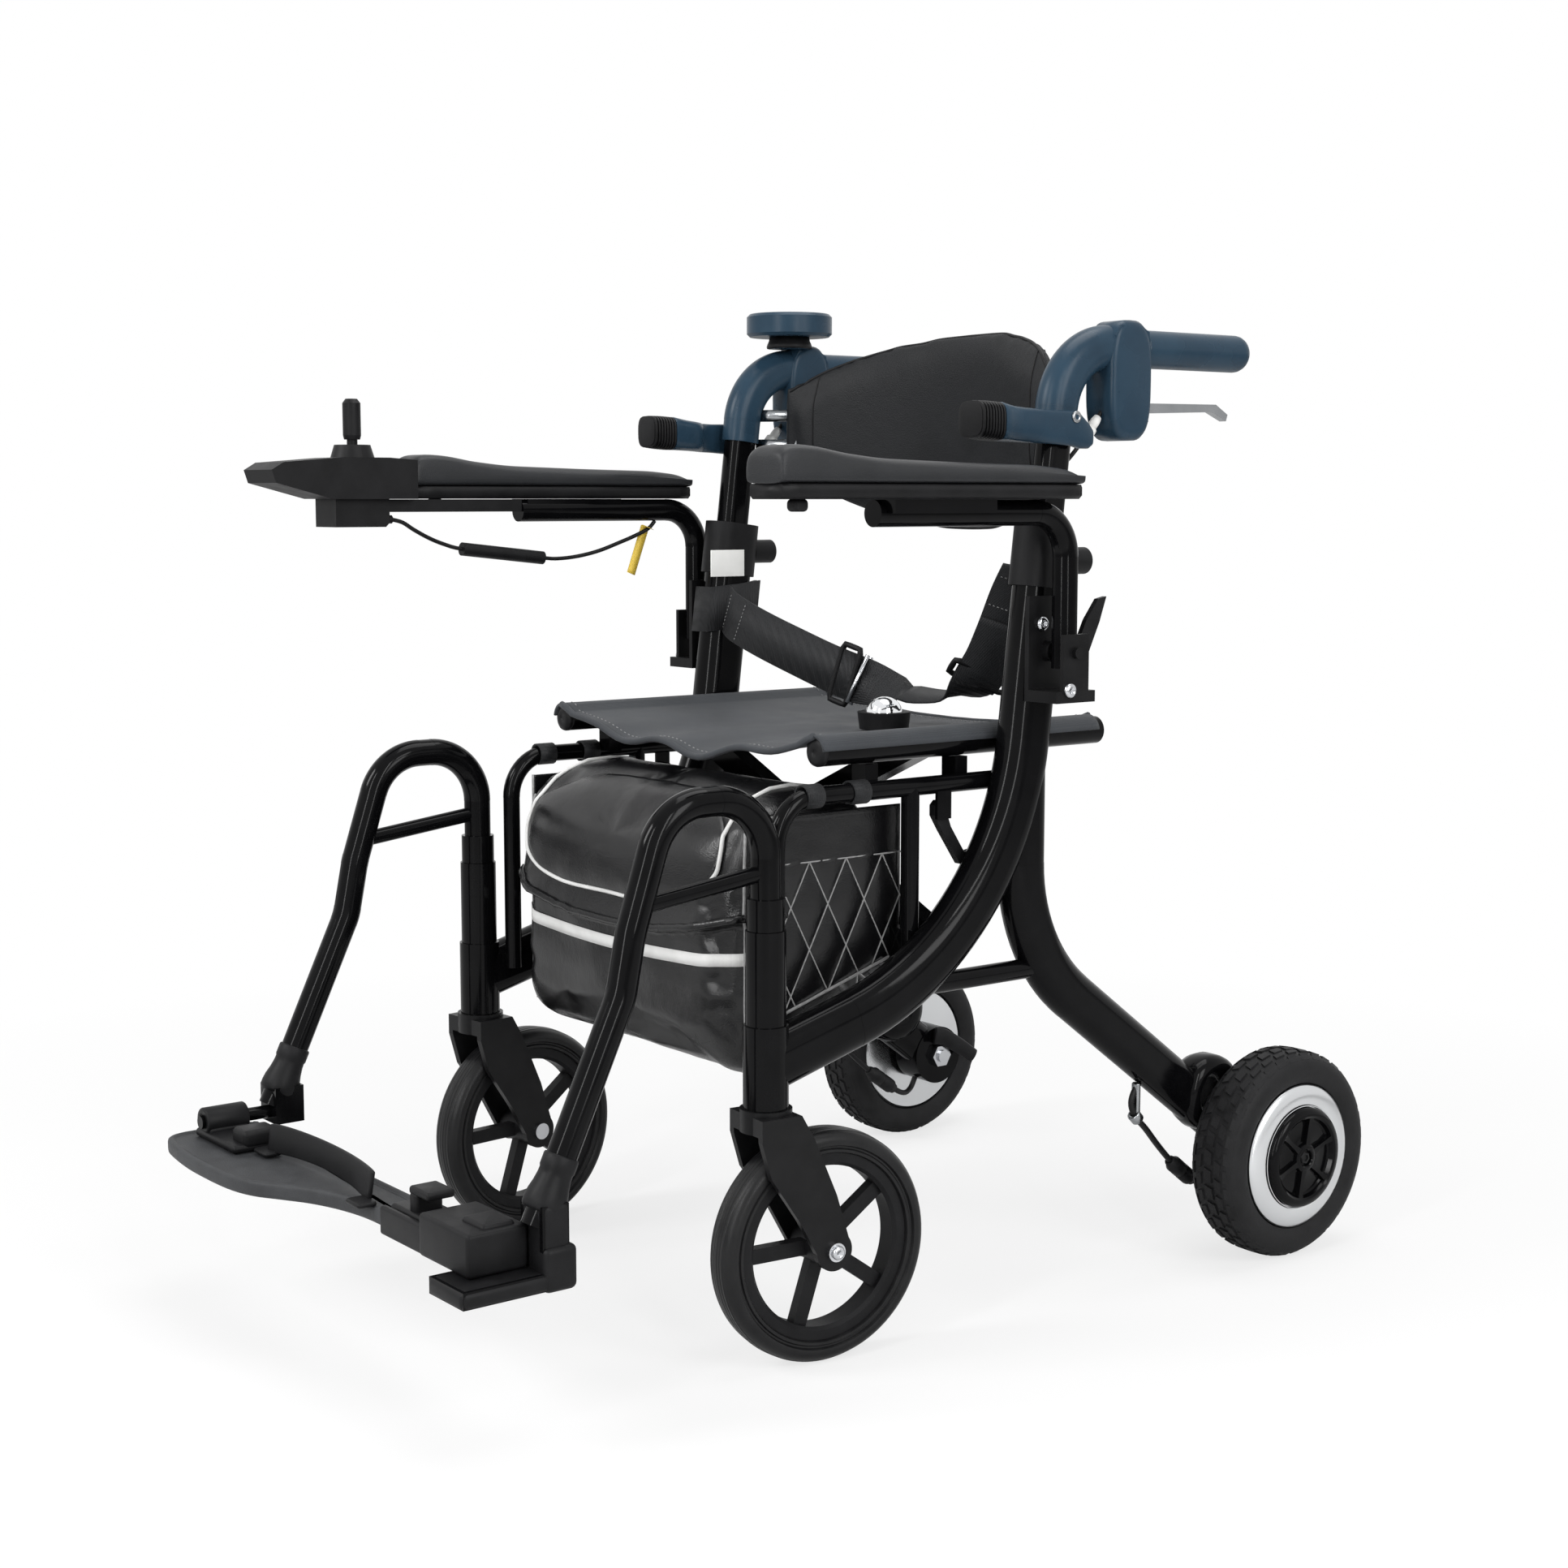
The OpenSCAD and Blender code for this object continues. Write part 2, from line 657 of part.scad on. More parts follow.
// Turned shape about the caster axle
module front_turned(profile) caster_turned() translate([0, caster_trail, wheel_r]) rotate([0, 90, 0])
  rotate_extrude($fn = 72) polygon(profile);

module caster_fork() {
  crown_half = housing_d / 2 + 3;
  eye_r = 17;
  caster_turned() difference() {
    union() {
      translate([0, 0, crown_top_z - 1]) cylinder(d = stem_d, h = stem_l + 1);
      translate([0, 0, crown_bottom_z]) cylinder(d = 2 * crown_half, h = crown_t);
      translate([-fork_gap - fork_t, -crown_half + 3, crown_bottom_z])
        cube([2 * (fork_gap + fork_t), 2 * crown_half - 6, crown_t - 4]);
      for (x = [-fork_gap - fork_t, fork_gap]) side_plate(x, fork_t) {
        polygon([[3 - crown_half, crown_top_z - 4], [crown_half - 3, crown_top_z - 4],
          [crown_half + 9, crown_bottom_z - 6], [caster_trail + 2, wheel_r + 48],
          [caster_trail + eye_r - 2, wheel_r + 6], [caster_trail - eye_r + 3, wheel_r - 6],
          [caster_trail - 34, wheel_r + 30], [-10, wheel_r + 70], [3 - crown_half, crown_bottom_z - 4]]);
        translate([caster_trail, wheel_r]) circle(r = eye_r);
      }
    }
    cross_rod([caster_trail, wheel_r], front_axle_d + 2 * run_fit, -60, 60);
  }
}
module left_caster_fork() placed() color("#141517") caster_fork();
module right_caster_fork() placed() color("#141517") mirrored() caster_fork();

// Axle bolt with a cap on each side of the fork
module front_axle() {
  end_x = fork_gap + fork_t;
  caster_turned() {
    cross_rod([caster_trail, wheel_r], front_axle_d, -end_x - 1, end_x + 1);
    for (x = [-end_x - 4, end_x + 0.1]) cross_rod([caster_trail, wheel_r], front_axle_d + 8, x, x + 3.9);
  }
}
module left_front_axle() placed() color("#c4c6c9") front_axle();
module right_front_axle() placed() color("#c4c6c9") mirrored() front_axle();

module front_rim() {
  rim_half = 12;
  hub_r = 16;
  bead_r = front_rim_r - 11;
  difference() {
    union() {
      front_turned([[bead_r, 3 - rim_half], [bead_r + 3, -rim_half], [front_rim_r - run_fit, -rim_half],
        [front_rim_r - run_fit, rim_half], [bead_r + 3, rim_half], [bead_r, rim_half - 3]]);
      front_turned([[0, 1 - fork_gap], [hub_r, 1 - fork_gap], [hub_r, fork_gap - 1], [0, fork_gap - 1]]);
      caster_turned() translate([0, caster_trail, wheel_r]) for (spoke = [0 : 4])
        rotate([90 + spoke * 72, 0, 0]) translate([-5, -6.5, hub_r - 3]) cube([10, 13, bead_r - hub_r + 5]);
    }
    caster_turned() cross_rod([caster_trail, wheel_r], front_axle_d + 2 * run_fit, -60, 60);
  }
}
module left_front_rim() placed() color("#1b1c1e") front_rim();
module right_front_rim() placed() color("#1b1c1e") mirrored() front_rim();

module front_tyre() {
  half = front_tyre_w / 2;
  front_turned([[front_rim_r, 4 - half], [front_rim_r + 5, -half], [wheel_r - 8, 1.5 - half],
    [wheel_r - 2, 7 - half], [wheel_r, 13 - half], [wheel_r, half - 13], [wheel_r - 2, half - 7],
    [wheel_r - 8, half - 1.5], [front_rim_r + 5, half], [front_rim_r, half - 4]]);
}
module left_front_tyre() placed() color("#202123") front_tyre();
module right_front_tyre() placed() color("#202123") mirrored() front_tyre();

// Swing-away footrest hanger, left hand, without its foot
module hanger_tube() {
  post_low_z = receiver_floor_z + 2;
  loop_y = -2 * hanger_bend_r;
  translate([frame_x, 0, receiver_top_z + gap]) cylinder(d = receiver_d - 3, h = hanger_sleeve_l);
  side_plane(frame_x) {
    bent_tube(concat([[0, post_low_z], [0, hanger_top_z], [loop_y, hanger_top_z]], leg_points),
      [hanger_bend_r, hanger_bend_r, 60, 60], hanger_d, hanger_d);
    bent_tube([[hanger_bar_y, hanger_bar_z - 15], [0, hanger_bar_z]], [], hanger_bar_d, hanger_bar_d);
  }
}

module foot_block(low_z, rear_y) {
  translate([frame_x - foot_half, plate_rear_y + gap, low_z])
    cube([2 * foot_half, rear_y - plate_rear_y, foot_top_z - low_z]);
}

// Left foot has a shelf that the free end of the footplate rests on
module left_hanger() placed() color("#141517") {
  hanger_tube();
  foot_block(plate_bottom_z - shelf_t, plate_rear_y + left_foot_l);
  translate([frame_x - shelf_in, plate_front_y + shelf_front, plate_bottom_z - shelf_t])
    cube([shelf_w, plate_rear_y - plate_front_y - 10, shelf_t - gap]);
}

// Right foot carries the footplate's hinge pin
module right_hanger() placed() color("#141517") mirrored() {
  hanger_tube();
  foot_block(plate_pin_z - 10, plate_rear_y + right_foot_l);
  long_rod(frame_x, plate_pin_z, plate_pin_d, plate_front_y + 36, plate_rear_y + 2);
}

module footplate() placed() color("#55585c") {
  knuckle_front_y = plate_front_y + 39;
  knuckle_l = 40;
  slant = 26;
  translate([0, 0, plate_bottom_z]) linear_extrude(plate_t) polygon([
    [plate_far_x, plate_front_y + slant], [plate_far_x + slant, plate_front_y],
    [plate_near_x - 60, plate_front_y], [plate_near_x, plate_front_y + 44],
    [plate_near_x, plate_rear_y - 14], [plate_near_x - 14, plate_rear_y],
    [plate_far_x + 14, plate_rear_y], [plate_far_x, plate_rear_y - 14]]);
  difference() {
    union() {
      long_rod(-frame_x, plate_pin_z, knuckle_d, knuckle_front_y, knuckle_front_y + knuckle_l);
      translate([-frame_x - knuckle_d / 2, knuckle_front_y, plate_top_z - 1])
        cube([knuckle_d, knuckle_l, plate_pin_z - plate_top_z]);
    }
    long_rod(-frame_x, plate_pin_z, plate_pin_d + 2 * run_fit, knuckle_front_y - 5,
      knuckle_front_y + knuckle_l + 5);
  }
}

// Foot strap that stands on the footplate in a shallow arc
module foot_strap() placed() color("#1c1d1f") {
  strap_bend_r = 520;
  strap_sweep = 27;
  strap_mid = [-70, plate_rear_y - 34];
  translate([strap_mid.x, strap_mid.y - strap_bend_r, plate_top_z + 0.1])
    rotate([0, 0, 90 - strap_sweep / 2]) rotate_extrude(angle = strap_sweep, $fn = 96)
    translate([strap_bend_r, 0]) square([strap_t, strap_h]);
}

// Flip-up arm tube, left hand
module arm_tube() {
  difference() {
    union() {
      side_plane(arm_x) bent_tube([[arm_post_y, arm_pivot_z - 14], [arm_post_y, arm_z], [arm_front_y, arm_z]],
        [arm_bend_r], arm_d, arm_d);
      translate([arm_x - arm_seat_in, arm_front_y + 6, arm_z])
        cube([arm_seat_w, arm_seat_l, pad_bottom_z - arm_z]);
    }
    cross_rod([arm_post_y, arm_pivot_z], arm_bolt_d + 2 * run_fit, arm_x - arm_d, arm_x + arm_d);
  }
}
module left_arm_tube() placed() color("#161719") arm_tube();
module right_arm_tube() placed() color("#161719") mirrored() arm_tube();

// Armrest pad with drawn-in sides and a dished top that lifts at both ends
module arm_pad() {
  stations = 18;
  loft([for (k = [0 : stations])
    let (t = k / stations)
    let (end = pow(abs(2 * t - 1), 8))
    let (half = pad_w / 2 * (1 - 0.10 * sin(180 * t) - 0.25 * end))
    let (height = pad_h * (0.86 + 0.14 * pow(2 * t - 1, 2) - 0.22 * end))
    [for (i = [0 : 19])
      let (q = squared_circle((i + 0.5) * 18, 0.45))
      [pad_x + half * q.y, pad_front_y + (pad_rear_y - pad_front_y) * t,
        pad_bottom_z + height * (1 + q.x) / 2]]
  ]);
}
module left_arm_pad() placed() color("#2b2d30") arm_pad();
module right_arm_pad() placed() color("#2b2d30") mirrored() arm_pad();

// Thumb lever behind the armrest post
module arm_latch() {
  side_plate(latch_in_x, latch_t) difference() {
    union() {
      translate(latch_pivot) circle(d = 17);
      translate(latch_pivot) polygon([[-6, 4], [8, -3], [20, 22], [28, 44], [18, 42], [4, 24]]);
    }
    translate(latch_pivot) circle(d = 7 + 2 * run_fit);
  }
}
module left_arm_latch() placed() color("#202124") arm_latch();
module right_arm_latch() placed() color("#202124") mirrored() arm_latch();

module handle_tube() {
  side_plane(frame_x) upright_run(upright_top_z - handle_bore_l + 12, arc_start_z,
    handle_depth, handle_width);
}
module left_handle_tube() placed() color("#18191b") handle_tube();
module right_handle_tube() placed() color("#18191b") mirrored() handle_tube();

// Blue handle arc with its brake housing and the core under the grip
module handle_arc() {
  ferrule_l = 22;
  difference() {
    union() {
      side_plane(frame_x) bent_tube([arc_start - ferrule_l * up, arc_corner, [slab_y + 20, grip_z]],
        [arc_r], arc_depth, arc_width);
      side_plate(frame_x - arc_width / 2 - 1, arc_width + 2) polygon([[slab_y, slab_low_z + 14],
        [slab_y + 10, slab_low_z + 3], [slab_y + 26, slab_low_z], [slab_y + slab_l, slab_low_z + 10],
        [slab_y + slab_l, grip_z + 14], [slab_y + slab_l - 10, grip_z + 19], [slab_y + 6, grip_z + 19],
        [slab_y, grip_z + 10]]);
      long_rod(frame_x, grip_z, grip_core_d, slab_y + slab_l - 1, slab_y + slab_l + grip_l - 40);
      cross_rod(lock_pivot, lock_stud_d, frame_x, lock_in_x + lock_t + 1);
    }
    side_plane(frame_x) upright_run(arc_start_z - ferrule_l - 5, arc_start_z + 0.2,
      handle_depth + 0.2, handle_width + 0.2);
    translate([frame_x - brake_t / 2 - 1, brake_pivot.x - 14, slab_low_z - 2])
      cube([brake_t + 2, 60, 44]);
  }
  cross_rod(brake_pivot, brake_pin_d, frame_x - arc_width / 2, frame_x + arc_width / 2);
}
module left_handle_arc() placed() color("#3b5870") handle_arc();
module right_handle_arc() placed() color("#3b5870") mirrored() handle_arc();

module grip() {
  nose_r = 13;
  grip_r = grip_d / 2;
  core_r = grip_core_d / 2 + run_fit;
  core_l = grip_l - 40 + gap;
  translate([frame_x, grip_y, grip_z]) rotate([-90, 0, 0]) rotate_extrude() polygon(concat(
    [[core_r, 0], [grip_r - 2, 0], [grip_r, 3]],
    [for (a = [0 : 15 : 90]) [grip_r - nose_r + nose_r * cos(a), grip_l - nose_r + nose_r * sin(a)]],
    [[0, grip_l], [0, core_l], [core_r, core_l]]));
}
module left_grip() placed() color("#37536b") grip();
module right_grip() placed() color("#37536b") mirrored() grip();

// Brake lever blade under the grip
module brake_lever() {
  reach = grip_y + grip_l - brake_pivot.x - 22;
  side_plate(frame_x - brake_t / 2, brake_t) translate(brake_pivot) difference() {
    union() {
      circle(d = 15);
      polygon([[0, -6], [20, -4], [reach - 22, -1], [reach - 2, -9], [reach, -3], [reach - 16, 6],
        [20, 5], [0, 7]]);
    }
    circle(d = brake_pin_d + 2 * run_fit);
  }
}
module left_brake_lever() placed() color("#b9bcbf") brake_lever();
module right_brake_lever() placed() color("#b9bcbf") mirrored() brake_lever();

// Parking lock lever that points forward beside the handle tube
module lock_lever() {
  reach = 108;
  nose = [-reach + 14, 8];
  difference() {
    union() {
      side_plate(lock_in_x, lock_t) translate(lock_pivot) polygon([[18, -12], [22, 0], [14, 10],
        [-30, 12], [nose.x, nose.y + 15], [nose.x - 4, nose.y - 14], [-40, -16]]);
      cross_rod(lock_pivot + nose, 31, lock_in_x, lock_in_x + lock_t);
    }
    cross_rod(lock_pivot, lock_stud_d + 2 * run_fit, lock_in_x - 5, lock_in_x + lock_t + 5);
  }
}
module left_lock_lever() placed() color("#3b5870") lock_lever();
module right_lock_lever() placed() color("#3b5870") mirrored() lock_lever();

module palm_knob() placed() color("#3b5870") mirrored()
  translate([knob_x, knob_y, grip_z + arc_depth / 2 + gap]) rotate_extrude($fn = 72) polygon([
    [0, 0], [knob_neck_d / 2, 0], [knob_neck_d / 2, knob_neck_h], [knob_d / 2 - 3, knob_neck_h],
    [knob_d / 2, knob_neck_h + 3], [knob_d / 2, knob_neck_h + knob_t - 3],
    [knob_d / 2 - 3, knob_neck_h + knob_t], [0, knob_neck_h + knob_t]]);

// Brace bar from a lower pivot at -X to a seat tube at +X
module brace_bar(bar_y, has_pin) {
  difference() {
    union() {
      difference() {
        translate([-brace_x, bar_y + bar_t, brace_pivot_z]) rotate([90, 0, 0]) rotate([0, 0, brace_angle])
          linear_extrude(bar_t) {
            translate([0, -bar_w / 2]) square([brace_l, bar_w]);
            circle(d = bar_w + 2);
          }
        translate([brace_x - 4 * bar_w, bar_y - 1, seat_z - bar_relief])
          cube([5 * bar_w, bar_t + 2, 2 * bar_w]);
      }
      long_rod(brace_x, seat_z, seat_tube_d, seat_front_y, seat_rear_y);
    }
    long_rod(-brace_x, brace_pivot_z, pivot_d + 2 * run_fit, bar_y - 5, bar_y + bar_t + 5);
    if (!has_pin)
      long_rod(0, brace_pivot_z + brace_rise / 2, pivot_d + 2 * run_fit, bar_y - 5, bar_y + bar_t + 5);
  }
  if (has_pin)
    long_rod(0, brace_pivot_z + brace_rise / 2, pivot_d, bar_y + 1, stud_end_y);
}
// Runs from the right frame to the left seat tube, with the centre pin
module front_brace() placed() color("#151618") brace_bar(front_bar_y, true);
// Runs from the left frame to the right seat tube
module rear_brace() placed() color("#151618") mirrored() brace_bar(rear_bar_y, false);

// Hook under the left bag rail that keeps the chair folded
module fold_latch() placed() color("#1d1e20") side_plate(hook_in_x, hook_t)
  translate(latch_lug) difference() {
    polygon([[-8, -5], [-8, 4], [-4, 8], [4, 8], [8, 4], [8, -8], [11, -16], [27, -40], [40, -38],
      [38, -46], [22, -50], [0, -18]]);
    circle(d = hook_stud_d + 2 * run_fit);
  }

// Seat sling over the two seat tubes: sags between them and ripples at its front edge
function sling_low(x, t) =
  let (tube_r = seat_tube_d / 2 + gap + 0.1)
  let (off = abs(x) - brace_x)
  let (span = brace_x - tube_r)
  let (front = pow(1 - t, 5))
  abs(x) > span
    ? seat_z + sqrt(max(tube_r * tube_r - off * off, 0))
    : seat_z + 2.5 - (sling_sag - 2 * t) * (1 - pow(x / span, 2))
      - front * 7 * (1 - pow(x / span, 2)) * (1 + 0.8 * sin(540 * x / span));
module seat_sling() placed() color("#2f3134") {
  rows = 14;
  loft([for (k = [0 : rows])
    let (t = k / rows)
    let (y = seat_front_y - 4 + (seat_rear_y - seat_front_y - 4) * t)
    concat(
      [for (x = sling_columns) [x, y, sling_low(x, t) + sling_t]],
      [for (i = [len(sling_columns) - 1 : -1 : 0])
        [sling_columns[i], y, sling_low(sling_columns[i], t)]])
  ]);
}

// Padded backrest band that bows back between the handles
module backrest_pad() placed() color("#26282b") {
  stations = 22;
  places = concat([-back_tip], [for (k = [0 : stations]) -1 + 2 * k / stations], [back_tip]);
  loft([for (u = places)
    let (bow = back_bow * (1 - u * u))
    let (crown = max(1 - u * u, 0))
    let (half_h = (back_end_h + (back_h - back_end_h) * pow(crown, 0.8)) / 2)
    let (half_t = back_t / 2 * (0.45 + 0.55 * pow(crown, 0.5)))
    [for (i = [0 : 19])
      let (q = squared_circle((i + 0.5) * 18, 0.7))
      [back_half * u, back_end_y + bow + half_t * q.x,
        back_end_z + (back_mid_z - back_end_z) * crown + half_h * q.y]]
  ]);
}

// Bag under the seat, hollow, hung on the rails by its top flanges
module storage_bag() placed() color("#1a1b1d") {
  flange_x = rail_x - rail_d / 2 - gap;
  difference() {
    side_plate(-bag_half, 2 * bag_half) polygon([[bag_front_y + 22, bag_top_z], [bag_rear_y, bag_top_z],
      [bag_rear_y, bag_low_z + 34], [bag_rear_y - 26, bag_low_z + 10], [bag_front_y + 40, bag_low_z],
      [bag_front_y + 12, bag_low_z + 8], [bag_front_y, bag_low_z + 40], [bag_front_y, rail_z - 90],
      [bag_front_y + 8, rail_z - 30]]);
    translate([bag_wall - bag_half, bag_front_y + 22, bag_floor_z])
      cube([2 * (bag_half - bag_wall), bag_rear_y - bag_front_y - 22 - bag_wall, bag_top_z - bag_floor_z - bag_wall]);
  }
  for (side = [-1, 1])
    translate([side * (bag_half + flange_x) / 2, rail_front_y + 19 + flange_l / 2, rail_z])
      cube([flange_x - bag_half + 0.1, flange_l, flange_t], center = true);
}

// Battery on the bag's floor, in the part that stays open when the chair is folded
module battery_pack() placed() color("#202225")
  translate([-bag_half + bag_wall + 2, bag_front_y + 26, bag_floor_z + 0.1]) cube(battery_size);

// Lap belt: one flat band through the belt route, standing on edge at the collars
module lap_belt() placed() color("#222427") {
  path = spline(belt_route, 2);
  count = len(path) - 1;
  loft([for (i = [0 : count])
    let (lying = sin(180 * i / count))
    let (along = tangent(path, i))
    let (wide = unit(cross(along, [0, 0.25 + lying, 0.9 - 0.8 * lying])))
    let (free = min(1, 3 * lying))
    let (edge = unit((1 - free) * [0, 0.2, 1] + free * unit(cross(wide, along))))
    let (w = wide * belt_t / 2)
    let (h = edge * belt_w / 2)
    [path[i] - w + h, path[i] - w - h, path[i] + w - h, path[i] + w + h]
  ]);
}

// Round push-button buckle that lies on the sling
module buckle_place() translate([buckle_at.x, buckle_at.y, buckle_z]) children();
module belt_buckle() placed() color("#18191b") buckle_place() difference() {
  cylinder(d1 = buckle_d - 4, d2 = buckle_d, h = buckle_h);
  translate([0, 0, button_seat]) cylinder(d = button_d + 2 * run_fit, h = buckle_h);
}
module buckle_button() placed() color("#c2c4c7") buckle_place()
  translate([0, 0, button_seat + button_travel + gap]) rotate_extrude() polygon([[0, 0], [button_d / 2, 0],
    [button_d / 2, 9], [button_d / 2 - 3, 12], [button_d / 2 - 9, 14], [0, 15]]);

// Joystick housing ahead of the right pad
module joystick_housing() placed() color("#26282b") {
  front_y = joy_rear_y - joy_l;
  difference() {
    union() {
      side_plate(joy_x - joy_w / 2, joy_w) polygon([[joy_rear_y, joy_low_z], [joy_rear_y, joy_top_z - 2],
        [stick_y + 24, joy_top_z], [stick_y - 24, joy_top_z], [front_y + 12, joy_top_z - 5],
        [front_y, joy_top_z - 12], [front_y + 4, joy_top_z - 24], [stick_y - 36, joy_low_z]]);
      side_plate(joy_x - 21, 42) polygon([[joy_box_y.x, joy_low_z + 1], [joy_box_y.y, joy_low_z + 1],
        [joy_box_y.y, joy_box_low_z + 4], [joy_box_y.y - 4, joy_box_low_z], [joy_box_y.x, joy_box_low_z]]);
      translate([joy_x, stick_y, joy_top_z - 1])
        cylinder(d1 = joy_collar_d, d2 = well_d + 4, h = joy_collar_h + 1);
      long_rod(-arm_x, lead_front[0].y, relief_d, joy_box_y.y - 1, lead_front[0].x);
      arm_rail();
    }
    translate([joy_x, stick_y, well_floor_z]) cylinder(d = well_d, h = 60);
    cross_rod([stick_y, joy_pivot_z], trunnion_d + 2 * run_fit, joy_x - well_d / 2 - 4, joy_x + well_d / 2 + 4);
  }
}
// Bar that joins the housing to the front of the right arm tube, under the pad
module arm_rail() translate([-arm_x - 8, joy_rear_y - 30, arm_z - 1])
  cube([16, arm_front_y - gap - joy_rear_y + 30, pad_bottom_z - gap - arm_z + 1]);

module joystick_gimbal() placed() color("#9a9da1") translate([joy_x, stick_y, joy_pivot_z]) difference() {
  union() {
    translate([0, 0, -gimbal_h / 2]) cylinder(d = gimbal_d, h = gimbal_h);
    for (side = [-1, 1]) translate([side * gimbal_d / 2 - (side + 1), 0, 0]) rotate([0, 90, 0])
      translate([0, 0, side < 0 ? -4.5 : 0]) cylinder(d = trunnion_d, h = 6.5);
  }
  translate([0, 0, -gimbal_h]) cylinder(d = gimbal_bore, h = 2 * gimbal_h);
  rotate([90, 0, 0]) cylinder(d = stick_pin_d + 2 * run_fit, h = 60, center = true);
}

module joystick_stick() placed() color("#1b1c1e") translate([joy_x, stick_y, joy_pivot_z]) {
  stick_l = stick_top_z - joy_pivot_z;
  translate([0, 0, -10]) cylinder(d = stick_shaft_d, h = stick_l - 10);
  rotate([90, 0, 0]) cylinder(d = stick_pin_d, h = gimbal_d - 2, center = true);
  rotate_extrude() polygon([[0, stick_l - 38], [stick_d / 2 - 1, stick_l - 38], [stick_d / 2, stick_l - 34],
    [stick_d / 2, stick_l - 4], [stick_d / 2 - 3, stick_l], [0, stick_l]]);
}

module joystick_lead() placed() color("#121315") {
  for (route = [lead_front, lead_rear]) cord([for (p = route) [-arm_x, p.x, p.y]], lead_d, 2);
}

// In-line ferrite barrel between the two stretches of lead
module lead_barrel() placed() color("#17181a") {
  from = lead_front[len(lead_front) - 1];
  to = lead_rear[0];
  side_plane(-arm_x) bent_tube([from, to], [], barrel_d, barrel_d);
}

right_side_frame();
left_side_frame();
right_height_collar();
left_height_collar();
right_arm_bracket();
left_arm_bracket();
right_motor_axle();
left_motor_axle();
right_motor_lead();
left_motor_lead();
right_motor_shell();
left_motor_shell();
right_hub_cap();
left_hub_cap();
right_rear_tyre();
left_rear_tyre();
right_caster_fork();
left_caster_fork();
right_front_axle();
left_front_axle();
right_front_rim();
left_front_rim();
right_front_tyre();
left_front_tyre();
right_hanger();
left_hanger();
footplate();
foot_strap();
right_arm_tube();
left_arm_tube();
right_arm_pad();
left_arm_pad();
right_arm_latch();
left_arm_latch();
right_handle_tube();
left_handle_tube();
right_handle_arc();
left_handle_arc();
right_grip();
left_grip();
right_brake_lever();
left_brake_lever();
right_lock_lever();
left_lock_lever();
front_brace();
rear_brace();
fold_latch();
seat_sling();
backrest_pad();
storage_bag();
battery_pack();
lap_belt();
belt_buckle();
buckle_button();
joystick_housing();
joystick_gimbal();
joystick_stick();
joystick_lead();
lead_barrel();
palm_knob();
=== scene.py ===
# %% [markdown]
# # A folding powered rollator, dressed in Blender
#
# The rigid frame comes from CAD, in metres, with the front facing -Y, the occupant's left at +X
# and the floor at Z = 0. This lesson gives each solid its finish and makes the soft pieces.

# %% Load the frame
import math

import bmesh
import bpy
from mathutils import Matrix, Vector
from mathutils.bvhtree import BVHTree
from mathutils.noise import noise


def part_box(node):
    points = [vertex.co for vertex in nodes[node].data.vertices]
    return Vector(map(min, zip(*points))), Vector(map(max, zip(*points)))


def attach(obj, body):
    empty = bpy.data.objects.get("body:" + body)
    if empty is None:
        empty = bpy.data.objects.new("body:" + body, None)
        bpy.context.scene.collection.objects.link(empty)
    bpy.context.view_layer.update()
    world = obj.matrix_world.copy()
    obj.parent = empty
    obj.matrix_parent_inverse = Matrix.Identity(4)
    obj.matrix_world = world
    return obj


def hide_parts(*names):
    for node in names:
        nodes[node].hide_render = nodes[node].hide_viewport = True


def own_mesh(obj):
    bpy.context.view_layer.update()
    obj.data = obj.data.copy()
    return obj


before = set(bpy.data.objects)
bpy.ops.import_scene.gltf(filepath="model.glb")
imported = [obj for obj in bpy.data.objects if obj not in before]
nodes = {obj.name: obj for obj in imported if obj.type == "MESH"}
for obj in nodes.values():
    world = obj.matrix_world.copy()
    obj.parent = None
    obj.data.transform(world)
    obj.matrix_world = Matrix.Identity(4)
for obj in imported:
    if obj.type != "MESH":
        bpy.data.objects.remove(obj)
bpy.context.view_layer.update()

# %% [markdown]
# ## Camera
#
# The camera was found from the photograph: four wheels taken as one size fix where it stood. It
# looks at the front left corner from a little above the armrests, with a moderate lens.

# %% Camera
scene = bpy.context.scene


def linked(name, data):
    """An object in the scene, made from its data."""
    made = bpy.data.objects.new(name, data)
    scene.collection.objects.link(made)
    return made


camera_data = bpy.data.cameras.new("camera")
camera_data.sensor_width = 36
camera_data.lens = 54.63
camera = linked("camera", camera_data)
camera.location = (1.76212, -1.32647, 0.72336)
camera.rotation_euler = (math.radians(90 - 6.882), 0, math.radians(52.589))
scene.camera = camera
scene.view_settings.view_transform = "Standard"
print("camera lens", camera_data.lens, "mm")

# %% [markdown]
# ## Small tools for shaders
#
# Every finish is a Principled shader. What changes over the surface, such as grain or a slight
# mottle, comes from textures in object space, so it needs no unwrapping. What is the same all over
# is written straight on the shader's sockets. One helper feeds sockets with either kind of value.


# %% Shader tools
def feed(tree, node, **sockets):
    """Give a node's sockets constants, or the outputs of other nodes."""
    for socket, value in sockets.items():
        target = node.inputs[socket.replace("_", " ")]
        if isinstance(value, bpy.types.NodeSocket):
            tree.links.new(value, target)
        else:
            target.default_value = value


def add_node(tree, kind, **sockets):
    made = tree.nodes.new(kind)
    feed(tree, made, **sockets)
    return made


def shader(name, **sockets):
    material = bpy.data.materials.new(name)
    material.use_nodes = True
    tree = material.node_tree
    principled = tree.nodes["Principled BSDF"]
    feed(tree, principled, **sockets)
    return material, tree, principled, tree.nodes.new("ShaderNodeTexCoord").outputs["Object"]


def noise_value(tree, places, scale, detail=3.0):
    return add_node(tree, "ShaderNodeTexNoise", Vector=places, Scale=scale, Detail=detail).outputs["Fac"]


print("shader tools ready")

